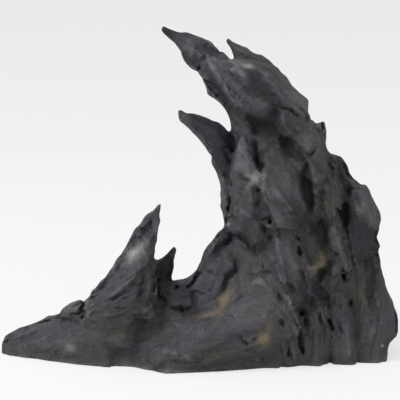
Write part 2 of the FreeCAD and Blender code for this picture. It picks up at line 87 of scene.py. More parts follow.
# ---- Space ----
@dataclass(frozen=True)
class Grid:
    """Even grid of sample points round the rock.

    Attributes:
        low: Place of the first sample, in millimetres.
        counts: Number of samples along X, Y and Z.
        step: Distance from one sample to the next.
    """

    low: np.ndarray
    counts: tuple[int, int, int]
    step: float

    @classmethod
    def round_box(cls, low: Vector, high: Vector, step: float, margin: float) -> "Grid":
        """Grid over a box and a margin on all its sides.

        Args:
            low: Lowest corner in metres.
            high: Highest corner in metres.
            step: Distance between samples.
            margin: Room left outside the box.

        Returns:
            The grid.
        """
        start = np.array(low) / MM - margin
        size = np.array(high) / MM + margin - start
        counts = tuple(int(n) for n in np.ceil(size / step).astype(int) + 1)
        return cls(start, counts, step)

    def axes(self) -> list[np.ndarray]:
        """Coordinates of the samples along each axis."""
        return [self.low[a] + self.step * np.arange(self.counts[a], dtype=np.float32) for a in range(3)]

    def window(self, low: np.ndarray, high: np.ndarray) -> tuple[slice, slice, slice]:
        """Slices of the samples inside a box."""
        first = np.clip(np.floor((low - self.low) / self.step).astype(int), 0, self.counts)
        last = np.clip(np.ceil((high - self.low) / self.step).astype(int) + 1, 0, self.counts)
        return tuple(slice(int(a), int(b)) for a, b in zip(first, last))

    @property
    def whole(self) -> tuple[slice, slice, slice]:
        """Slices of all the samples."""
        return tuple(slice(0, n) for n in self.counts)

    def mesh(self, window: tuple[slice, slice, slice]) -> list[np.ndarray]:
        """Coordinates of a window's samples, as three arrays that broadcast to its shape."""
        cut = [axis[part] for axis, part in zip(self.axes(), window)]
        return [cut[0][:, None, None], cut[1][None, :, None], cut[2][None, None, :]]

    def sample(self, values: np.ndarray, points: np.ndarray) -> np.ndarray:
        """Values between the samples: the eight round each point, each weighed by its nearness.

        Args:
            values: Array over the grid.
            points: Places, as (n, 3).

        Returns:
            One value for each point.
        """
        place = np.clip((points - self.low) / self.step, 0, np.array(self.counts) - LAST_CELL)
        base = place.astype(np.int32)
        part = (place - base).astype(np.float32)
        total = np.zeros(len(points), np.float32)
        for corner in np.ndindex(2, 2, 2):
            weight = np.prod(np.where(corner, part, 1 - part), axis=1)
            total += weight * values[tuple((base + corner).T)]
        return total

    def gradient(self, values: np.ndarray, points: np.ndarray) -> np.ndarray:
        """Slope of the values at each point: the difference over one step either way along each axis."""
        steps = np.eye(3) * self.step
        rises = [self.sample(values, points + s) - self.sample(values, points - s) for s in steps]
        return np.stack(rises, axis=1) / (2 * self.step)


def smooth_step(low: float, high: float, values: np.ndarray) -> np.ndarray:
    """0 below low, 1 above high, and between them t*t*(3 - 2t) of the share t of the way."""
    share = np.clip((values - low) / (high - low), 0, 1)
    return share * share * (3 - 2 * share)


def smooth_greater(a: np.ndarray, b: np.ndarray, width: float) -> np.ndarray:
    """The greater of two fields, plus h*h*width/4 where h is how near they are, as a share of width."""
    near = np.clip(1 - np.abs(a - b) / width, 0, 1)
    return np.maximum(a, b) + near * near * width / 4


def blurred(values: np.ndarray, spread: float) -> np.ndarray:
    """Array averaged with a bell-shaped weight along each axis in turn; spread is in samples."""
    reach = max(1, int(math.ceil(spread * BELL_REACH)))
    offsets = np.arange(-reach, reach + 1)
    weights = np.exp(-0.5 * (offsets / spread) ** 2)
    weights = (weights / weights.sum()).astype(np.float32)
    for axis in range(3):
        padded = np.pad(values, [(reach, reach) if a == axis else (0, 0) for a in range(3)], mode="edge")
        padded = np.moveaxis(padded, axis, 0)
        count = values.shape[axis]
        total = np.zeros_like(padded[:count])
        for offset, weight in zip(offsets, weights):
            total += weight * padded[reach + offset: reach + offset + count]
        values = np.moveaxis(total, 0, axis)
    return np.ascontiguousarray(values)


def lowest(values: np.ndarray, reach: int) -> np.ndarray:
    """Lowest value within reach samples along each axis in turn, so in a square or a cube of them."""
    for axis in range(values.ndim):
        sides = [(reach, reach) if a == axis else (0, 0) for a in range(values.ndim)]
        padded = np.pad(values, sides, mode="edge")
        padded = np.moveaxis(padded, axis, 0)
        count = values.shape[axis]
        low = padded[:count].copy()
        for offset in range(1, 2 * reach + 1):
            np.minimum(low, padded[offset: offset + count], out=low)
        values = np.moveaxis(low, 0, axis)
    return np.ascontiguousarray(values)


@dataclass
class Grain:
    """Smooth random values in space, from a lattice that repeats far outside the rock's size."""

    seed: int
    size: int = 64
    lattice: np.ndarray = field(init=False)

    def __post_init__(self) -> None:
        self.lattice = np.random.default_rng(self.seed).random((self.size,) * 3, dtype=np.float32)

    def at(self, cells: np.ndarray) -> np.ndarray:
        """Value from 0 to 1 at places in lattice cells, eased between the eight corners round each."""
        base = np.floor(cells).astype(np.int32)
        part = (cells - base).astype(np.float32)
        part = part * part * (3 - 2 * part)
        total = np.zeros(len(cells), np.float32)
        for corner in np.ndindex(2, 2, 2):
            weight = np.prod(np.where(corner, part, 1 - part), axis=1)
            index = (base + corner) % self.size
            total += weight * self.lattice[index[:, 0], index[:, 1], index[:, 2]]
        return total

    def crests(self, cells: np.ndarray) -> np.ndarray:
        """Value from 0 to 1 with sharp crests where the smooth value passes its middle."""
        return 1 - np.abs(2 * self.at(cells) - 1)


@dataclass
class Chips:
    """Flat faces knocked off the rock: space is split among scattered points, each with its own slant."""

    seed: int
    size: int = 48
    inset: float = 0.25
    scatter: float = 0.5
    spots: np.ndarray = field(init=False)
    slants: np.ndarray = field(init=False)

    def __post_init__(self) -> None:
        draw = np.random.default_rng(self.seed)
        self.spots = draw.random((self.size,) * 3 + (3,), dtype=np.float32)
        slants = draw.normal(size=(self.size,) * 3 + (3,)).astype(np.float32)
        self.slants = slants / np.linalg.norm(slants, axis=-1, keepdims=True)

    def at(self, cells: np.ndarray) -> tuple[np.ndarray, np.ndarray]:
        """Height of the nearest point's slanted face, and how near the second nearest point is.

        Args:
            cells: Places in cells of the scatter, as (n, 3).

        Returns:
            The offset from the nearest point along its slant, and the difference between the
            distances from the two nearest points, both in cells.
        """
        base = np.floor(cells - MIDDLE).astype(np.int32)
        best = np.full(len(cells), FAR, np.float32)
        second = best.copy()
        height = np.zeros(len(cells), np.float32)
        for corner in np.ndindex(2, 2, 2):
            cell = base + corner
            index = tuple((cell % self.size).T)
            off = (cells - cell - self.inset - self.scatter * self.spots[index]).astype(np.float32)
            away = np.einsum("ij,ij->i", off, off)
            nearer = away < best
            second = np.where(nearer, best, np.minimum(second, away))
            best = np.where(nearer, away, best)
            height = np.where(nearer, np.einsum("ij,ij->i", off, self.slants[index]), height)
        return height, np.sqrt(second) - np.sqrt(best)


# ---- The rock as a field ----
def node_surface(node: str) -> tuple[np.ndarray, np.ndarray]:
    """Corners in millimetres, and triangles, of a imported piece."""
    mesh = frame["nodes"][node].data
    mesh.calc_loop_triangles()
    corners = np.empty(len(mesh.vertices) * 3, np.float32)
    mesh.vertices.foreach_get("co", corners)
    triangles = np.empty(len(mesh.loop_triangles) * 3, np.int32)
    mesh.loop_triangles.foreach_get("vertices", triangles)
    return corners.reshape(-1, 3) / MM, triangles.reshape(-1, 3)


@dataclass
class RockField:
    """Signed distance field of the whole rock, below 0 inside it, with the piece that owns each sample.

    Attributes:
        grid: Where the samples are.
        nodes: Names of the castings, in the order of their owner numbers.
        band: Distances are right up to this far from a surface, and held there beyond it.
        closing: Gaps between castings that are narrower than twice this are filled.
        depth: Distance at each sample.
        owner: Number of the casting that each sample belongs to.
        joint: How much further the second nearest casting is than the nearest.
    """

    grid: Grid
    nodes: list[str]
    band: float = 10.0
    closing: float = 1.2
    depth: np.ndarray = field(init=False)
    owner: np.ndarray = field(init=False)
    joint: np.ndarray = field(init=False)

    def __post_init__(self) -> None:
        nearest = np.full(self.grid.counts, self.band, np.float32)
        second = nearest.copy()
        self.owner = np.zeros(self.grid.counts, np.int16)
        for number, node in enumerate(self.nodes):
            corners, triangles = node_surface(node)
            reach = self.band + self.grid.step
            window = self.grid.window(corners.min(0) - reach, corners.max(0) + reach)
            distance = self.distance_to(corners, triangles, window)
            was = nearest[window]
            closer = distance < was
            second[window] = np.where(closer, was, np.minimum(second[window], distance))
            nearest[window] = np.where(closer, distance, was)
            self.owner[window][closer] = number
        self.joint = second - nearest
        self.depth = self.closed(nearest)

    def distance_to(self, corners: np.ndarray, triangles: np.ndarray, window: tuple) -> np.ndarray:
        """Signed distance to a closed surface, at the samples of a window."""
        start = self.grid.low + self.grid.step * np.array([part.start for part in window])
        volume = openvdb.FloatGrid.createLevelSetFromPolygons(
            (corners - start).astype(np.float32),
            triangles=triangles.astype(np.uint32),
            transform=openvdb.createLinearTransform(voxelSize=self.grid.step),
            halfWidth=self.band / self.grid.step,
        )
        values = np.empty([part.stop - part.start for part in window], np.float32)
        volume.copyToArray(values)
        return values

    def closed(self, nearest: np.ndarray) -> np.ndarray:
        """Distance to the castings as one solid.

        The surface that lies a little outside them all has no joint faces in it. The distance to it is
        worked out anew, and that surface's own offset is taken off again.
        """
        volume = openvdb.FloatGrid(self.band)
        volume.copyFromArray(nearest - self.closing)
        volume.transform = openvdb.createLinearTransform(voxelSize=self.grid.step)
        corners, quads = volume.convertToQuads(0.0)
        triangles = np.concatenate([quads[:, [0, 1, 2]], quads[:, [0, 2, 3]]])
        return self.distance_to(corners + self.grid.low, triangles, self.grid.whole) + self.closing

    def near_surface(self, reach: float) -> np.ndarray:
        """True at the samples within a distance of the skin."""
        return np.abs(self.depth) < reach

    def places(self, chosen: np.ndarray) -> np.ndarray:
        """Coordinates of the chosen samples, as (n, 3)."""
        return self.grid.low + self.grid.step * np.argwhere(chosen)


# ---- Meshes from the field ----
@dataclass
class Cutter:
    """Cuts the field into one closed mesh for each casting.

    A sample belongs to its owner if it is inside the rock, and to nothing if it is outside. Wherever two
    neighbouring samples belong to different things, a four-sided face goes between them, with one corner
    in each of the four cells that share that edge of the grid. A cell's corner is the mean of the places
    where its edges cross the skin, or of those where they cross a joint if it holds no skin. Castings
    that meet share these corners, so no gap can open between them.

    Attributes:
        rock: The field.
        least_joint: Least distance to a joint, so a crossing always has a place.
        ends: Least and most share of an edge at which it is crossed.
        joint_weight: Weight of a joint's crossing in a cell that holds skin too.
        places: The corners.
        faces: Corners of the faces across each axis, and what lies before and after each face.
    """

    rock: RockField
    least_joint: float = 1e-3
    ends: tuple[float, float] = (0.02, 0.98)
    joint_weight: float = 1e-6
    places: np.ndarray = field(init=False)
    faces: list[tuple[np.ndarray, np.ndarray, np.ndarray]] = field(init=False)

    def __post_init__(self) -> None:
        counts = np.array(self.rock.grid.counts)
        label = np.where(self.rock.depth < 0, self.rock.owner + 1, 0).astype(np.int16)
        label[[0, -1]] = 0
        label[:, [0, -1]] = 0
        label[:, :, [0, -1]] = 0
        strides = np.array([counts[1] * counts[2], counts[2], 1])
        cells, spots, weights = [], [], []
        self.faces = []
        for axis in range(3):
            before = [slice(0, -1) if a == axis else slice(None) for a in range(3)]
            after = [slice(1, None) if a == axis else slice(None) for a in range(3)]
            first, last = label[tuple(before)], label[tuple(after)]
            where = np.argwhere(first != last)
            ends = where.copy()
            ends[:, axis] += 1
            a, b = tuple(where.T), tuple(ends.T)
            skin = (label[a] == 0) | (label[b] == 0)
            rise = np.where(skin, self.rock.depth[a], self.rock.joint[a] + self.least_joint)
            fall = np.where(skin, self.rock.depth[b], -self.rock.joint[b] - self.least_joint)
            share = np.clip(rise / (rise - fall), *self.ends)
            spot = where.astype(np.float64)
            spot[:, axis] += share
            one, two = (axis + 1) % 3, (axis + 2) % 3
            ring = []
            for back_one, back_two in ((0, 0), (1, 0), (1, 1), (0, 1)):
                cell = where.copy()
                cell[:, one] -= back_one
                cell[:, two] -= back_two
                ring.append(cell @ strides)
            ring = np.stack(ring, axis=1)
            self.faces.append((ring, label[a], label[b]))
            cells.append(ring.ravel())
            spots.append(np.repeat(spot, 4, axis=0))
            weights.append(np.repeat(np.where(skin, 1.0, self.joint_weight), 4))
        cells, spots, weights = np.concatenate(cells), np.concatenate(spots), np.concatenate(weights)
        used, index = np.unique(cells, return_inverse=True)
        total = np.bincount(index, weights)
        mean = [np.bincount(index, weights * spots[:, a]) / total for a in range(3)]
        self.places = self.rock.grid.low + self.rock.grid.step * np.stack(mean, axis=1)
        self.faces = [(np.searchsorted(used, ring), a, b) for ring, a, b in self.faces]

    def casting(self, number: int) -> tuple[np.ndarray, np.ndarray]:
        """Places of the corners in the whole cut, and faces, of one casting, seen from outside."""
        quads = []
        for ring, first, last in self.faces:
            quads.append(ring[first == number + 1])
            quads.append(ring[last == number + 1][:, ::-1])
        quads = np.concatenate(quads)
        used, index = np.unique(quads, return_inverse=True)
        return used, index.reshape(-1, 4)


def mesh_from(name: str, corners: np.ndarray, quads: np.ndarray) -> bpy.types.Mesh:
    """Mesh in metres from corners in millimetres and four-sided faces."""
    mesh = bpy.data.meshes.new(name)
    mesh.vertices.add(len(corners))
    mesh.vertices.foreach_set("co", (corners * MM).astype(np.float32).ravel())
    mesh.loops.add(quads.size)
    mesh.loops.foreach_set("vertex_index", quads.astype(np.int32).ravel())
    mesh.polygons.add(len(quads))
    mesh.polygons.foreach_set("loop_start", np.arange(0, quads.size, 4, dtype=np.int32))
    mesh.polygons.foreach_set("use_smooth", np.ones(len(quads), bool))
    mesh.update(calc_edges=True)
    return mesh


# ---- Where the camera stands ----
@dataclass(frozen=True)
class Sight:
    """The camera's place, and the sight lines that carry places in the picture onto the rock.

    A place in the picture is (across, up), in millimetres on the upright plane that faces the camera at
    the point it aims at.

    Attributes:
        aim: Point that the camera looks at.
        elevation: How far it looks down, in degrees.
        distance: How far it stands from that point.
        lens: Focal length on a sensor 36 mm wide.
    """

    aim: tuple[float, float, float] = (0.4, -9.4, 98.0)
    elevation: float = 10.0
    distance: float = 1100.0
    lens: float = 165.0

    @property
    def back(self) -> np.ndarray:
        """Direction from the rock to the camera."""
        tilt = math.radians(self.elevation)
        return np.array([0.0, -math.cos(tilt), math.sin(tilt)])

    @property
    def up(self) -> np.ndarray:
        """Direction that is up in the picture."""
        tilt = math.radians(self.elevation)
        return np.array([0.0, math.sin(tilt), math.cos(tilt)])

    @property
    def eye(self) -> np.ndarray:
        """Place of the camera."""
        return np.array(self.aim) + self.distance * self.back

    def rays(self, across: np.ndarray, up: np.ndarray) -> np.ndarray:
        """Unit directions from the camera through places in the picture, as (n, 3)."""
        target = np.array(self.aim) + across[:, None] * np.array([1.0, 0.0, 0.0]) + up[:, None] * self.up
        way = target - self.eye
        return way / np.linalg.norm(way, axis=1, keepdims=True)

    def picture(self, points: np.ndarray) -> np.ndarray:
        """Places in the picture of points in space, as (n, 2)."""
        way = points - self.eye
        scale = self.distance / -(way @ self.back)
        return np.stack([way[:, 0] * scale, (way @ self.up) * scale], axis=1)


@dataclass(frozen=True)
class Sheet:
    """Even grid over the picture, on which values of the front skin are kept."""

    pitch: float
    wide: float = 127.0
    high: float = 112.0

    def mesh(self) -> tuple[np.ndarray, np.ndarray]:
        """Across and up of each place on the grid."""
        across = np.arange(-self.wide, self.wide + self.pitch, self.pitch)
        up = np.arange(-self.high, self.high + self.pitch, self.pitch)
        return np.meshgrid(across, up, indexing="ij")

    def read(self, values: np.ndarray, picture: np.ndarray) -> np.ndarray:
        """Values between the grid's places: the four round each, weighed by nearness."""
        place = (picture + np.array([self.wide, self.high])) / self.pitch
        place = np.clip(place, 0, np.array(values.shape) - LAST_CELL)
        base = place.astype(np.int32)
        part = place - base
        i, j = base[:, 0], base[:, 1]
        left = values[i, j] * (1 - part[:, 1]) + values[i, j + 1] * part[:, 1]
        right = values[i + 1, j] * (1 - part[:, 1]) + values[i + 1, j + 1] * part[:, 1]
        return (left * (1 - part[:, 0]) + right * part[:, 0]).astype(np.float32)


def path_distance(x: np.ndarray, y: np.ndarray, path: np.ndarray) -> tuple[np.ndarray, np.ndarray]:
    """Distance from a path, and the share of its length at the nearest point of it."""
    lengths = np.linalg.norm(np.diff(path, axis=0), axis=1)
    before = np.concatenate([[0.0], np.cumsum(lengths)])
    best = np.full(x.shape, FAR)
    share = np.zeros(x.shape)
    for start, end, length, run in zip(path, path[1:], lengths, before):
        way = (end - start) / length
        along = np.clip((x - start[0]) * way[0] + (y - start[1]) * way[1], 0, length)
        off = np.hypot(x - start[0] - along * way[0], y - start[1] - along * way[1])
        nearer = off < best
        best = np.where(nearer, off, best)
        share = np.where(nearer, (run + along) / before[-1], share)
    return best, share


def outline_distance(x: np.ndarray, y: np.ndarray, outline: np.ndarray) -> np.ndarray:
    """Distance from a closed outline, below 0 inside it; a place is inside if a level line from it
    crosses the outline an odd number of times."""
    closed = np.concatenate([outline, outline[:1]])
    off, _ = path_distance(x, y, closed)
    inside = np.zeros(x.shape, bool)
    for (x0, y0), (x1, y1) in zip(closed, closed[1:]):
        if y0 != y1:
            crossed = ((y0 > y) != (y1 > y)) & (x < x0 + (y - y0) * (x1 - x0) / (y1 - y0))
            inside ^= crossed
    return np.where(inside, -off, off)


@dataclass(frozen=True)
class Varied:
    """A share that random values from 0 to 1 raise from its least."""

    least: float
    gain: float

    def at(self, values: np.ndarray) -> np.ndarray:
        """The share at random values."""
        return self.least + self.gain * values


LINE_MARGIN = 9.0
LINE_ENDS = (0.03, 0.97)
LINE_WIDTH = Varied(0.55, 0.95)
LINE_HEIGHT = Varied(0.7, 0.6)
AREA_MARGIN = 6.0
AREA_BEVEL = Varied(0.5, 1.6)
AREA_HEIGHT = Varied(0.6, 0.8)
AREA_STEP = 0.3
PATCH_EDGE = Varied(0.55, 0.9)
WASH_MARGIN = 3


@dataclass(frozen=True)
class Line:
    """A crease, slit or ridge along a path in the picture.

    Attributes:
        half: Half its width.
        height: How far it stands out of the skin; below 0 it is cut in.
        corners: Its path in the picture.
    """

    half: float
    height: float
    corners: tuple[tuple[float, float], ...]
    margin = LINE_MARGIN

    def lift(self, path: np.ndarray, x: np.ndarray, y: np.ndarray, vary: np.ndarray) -> np.ndarray:
        """Height * (1 - t*t)**1.5, where t is the distance over a half width that tapers.

        The taper is the root of the sine of half a turn times the share of the length.
        """
        off, share = path_distance(x, y, path)
        taper = np.sqrt(np.sin(np.pi * np.clip(share, *LINE_ENDS)))
        t = np.clip(off / (self.half * taper * LINE_WIDTH.at(vary)), 0, 1)
        return self.height * taper * LINE_HEIGHT.at(vary) * (1 - t * t) ** 1.5


@dataclass(frozen=True)
class Area:
    """A slab that stands out of the skin, or a hollow in it, with a closed outline in the picture.

    Attributes:
        height: How far it stands out; below 0 it is a hollow.
        bevel: Width of its edge.
        corners: Its outline in the picture.
    """

    height: float
    bevel: float
    corners: tuple[tuple[float, float], ...]
    margin = AREA_MARGIN

    def lift(self, outline: np.ndarray, x: np.ndarray, y: np.ndarray, vary: np.ndarray) -> np.ndarray:
        """An eased step of the height across the bevel."""
        off = outline_distance(x, y, outline)
        step = smooth_step(0, 1, AREA_STEP - off / (self.bevel * AREA_BEVEL.at(vary)))
        return self.height * AREA_HEIGHT.at(vary) * step


@dataclass(frozen=True)
class Patch:
    """A soft-edged patch on the front skin."""

    across: float
    up: float
    wide: float
    high: float
    strength: float = 1.0
    turn: float = 0.0

    def cover(self, picture: np.ndarray, ragged: np.ndarray) -> np.ndarray:
        """Strength at places in the picture: a ragged bell of the turned and stretched distance."""
        angle = math.radians(self.turn)
        aside = picture - np.array([self.across, self.up])
        along = (aside[:, 0] * math.cos(angle) + aside[:, 1] * math.sin(angle)) / self.wide
        over = (aside[:, 1] * math.cos(angle) - aside[:, 0] * math.sin(angle)) / self.high
        return self.strength * np.exp(-(along ** 2 + over ** 2) * PATCH_EDGE.at(ragged))


@dataclass(frozen=True)
class ShadeAndLightWash:
    """Painted shade and light with a closed outline in the picture, partly thin paint as well; a strength
    below 0 is dark, painted shade, and above 0 is pale, painted light.

    Attributes:
        strength: How much of the shade or light shows; its sign says which.
        soft: How far its edge fades, either way.
        outline: Its corners in the picture.
    """

    strength: float
    soft: float
    outline: tuple[tuple[float, float], ...]

    def cover(self, picture: np.ndarray, ragged: np.ndarray) -> np.ndarray:
        """Strength at places in the picture, with an edge that the random values push in and out."""
        outline = np.array(self.outline, float)
        aside = np.abs(picture - outline.mean(0)) - np.ptp(outline, axis=0)
        near = np.all(aside < WASH_MARGIN * self.soft, axis=1)
        off = outline_distance(*picture[near].T, outline) + self.soft * (2 * ragged[near] - 1)
        cover = np.zeros(len(picture))
        cover[near] = self.strength * (1 - smooth_step(-self.soft, self.soft, off))
        return cover


def covered(marks: tuple, picture: np.ndarray, ragged: np.ndarray) -> np.ndarray:
    """Sum of what the patches and the washes of painted light and shade lay over places in the picture."""
    return sum(mark.cover(picture, ragged) for mark in marks)


# ---- Marks seen in the picture ----
OUTLINE: tuple = (
    (-119, -86), (-117, -82), (-113, -79.5), (-109, -77.2), (-105, -76), (-100, -74.2), (-95, -71.5),
    (-91, -69.3), (-85, -68.3), (-83, -66), (-80.5, -63), (-77, -60.8), (-73, -60), (-70.5, -60.2),
    (-69.3, -61.5), (-68.5, -60.3), (-66.5, -58), (-64.5, -54), (-61, -50.5), (-57, -46.5), (-54, -42),
    (-50.5, -37), (-48, -32.5), (-45, -28.5), (-42, -23), (-39.5, -18), (-36.5, -14.5), (-34, -10.5),
    (-32, -8), (-29, -6.8), (-27, -5), (-25.5, -3), (-24.2, -1.6), (-23.2, -2.5), (-23.2, -4.5),
    (-24, -8), (-24.4, -11), (-24, -13.5), (-25, -19.5), (-26, -23.5), (-26.5, -28), (-28.1, -34.5),
    (-27.2, -36), (-25.5, -35.7), (-23, -34.8), (-20, -32.8), (-18, -30.5), (-16.5, -28.8),
    (-15.3, -28.3), (-14.2, -29), (-13.8, -30.5), (-15.5, -36.5), (-16.5, -43.5), (-17.2, -46.5),
    (-16.8, -48), (-12, -47.6), (-9, -47), (-6, -45), (-3.5, -43), (-1.2, -40), (0.2, -37), (1, -34),
    (2.5, -30.5), (6.5, -25), (10, -20.5), (14, -16.5), (14.4, -14), (13.2, -7), (12.4, -3), (12.2, 0),
    (12.5, 6.5), (12, 9.5), (10.8, 12.5), (10.2, 15.5), (8.5, 18.5), (6.9, 21), (6.5, 23.5), (7, 26.5),
    (5.5, 28), (1.5, 33.5), (0, 36), (-5, 41), (-7, 43.5), (-11.3, 47), (-13, 50.3), (-13.7, 52.5),
    (-13.5, 54), (-12, 54.5), (-10, 53.3), (-8, 52.2), (-5, 52), (0, 51), (4, 49), (8.5, 47.8),
    (11, 47), (15, 43.5), (17, 41.3), (18.2, 40.8), (19, 43), (18.5, 45.5), (17.3, 48.5), (16.8, 51.5),
    (14, 55.8), (12, 58), (9, 60.2), (4.2, 63.5), (3.6, 66.5), (2.5, 69), (0.8, 74), (-0.3, 75),
    (-1.8, 77.5), (-5.5, 79), (-8, 81), (-9.8, 83.5), (-11.3, 88), (-11.8, 90), (-13, 92),
    (-15.5, 94.5), (-18.5, 96.8), (-21.5, 99.5), (-23.5, 101.8), (-23.5, 103.3), (-22.5, 104.2),
    (-21, 104), (-19.5, 102.8), (-14, 101.3), (-8, 100.6), (-5, 100.2), (0, 98.2), (5.5, 96.2),
    (7, 94.5), (8.5, 92.5), (12, 89.8), (14, 89), (17, 85.5), (18.7, 84.2), (20.4, 85.5), (19.5, 88.3),
    (18, 91), (16.2, 94), (16, 96), (16.8, 97.2), (18, 96.5), (20, 94.8), (25, 92.3), (28, 91.8),
    (30, 90.3), (35, 87.2), (37.5, 86.8), (40, 85), (45, 80.8), (51, 75), (53, 72), (56, 68.2),
    (60, 64.5), (64.2, 61), (65, 59.5), (64.6, 54), (65, 52), (68.5, 47), (69.8, 45.9), (71.5, 46.2),
    (73.6, 46.9), (74.8, 46.3), (76, 41.5), (75.5, 34), (76.2, 31), (76.8, 29.2), (78, 28.1),
    (80, 27.8), (85, 26), (88.8, 20), (90, 16.5), (92, 12.8), (96, 10), (99.5, 8.8), (102, 5),
    (104.2, 1), (106.5, -4), (108.2, -8), (108.6, -11), (107.8, -18), (106.2, -21.5), (107.3, -25),
    (107.9, -28), (107, -31), (107.8, -35), (109.5, -44), (111, -49.5), (113, -55), (115.5, -60),
    (117, -64.5), (119.2, -72), (118.6, -76), (118.8, -78.5), (118, -82), (116, -84.5), (113.5, -86.5),
    (112.6, -90), (113, -116), (-119, -116),
)

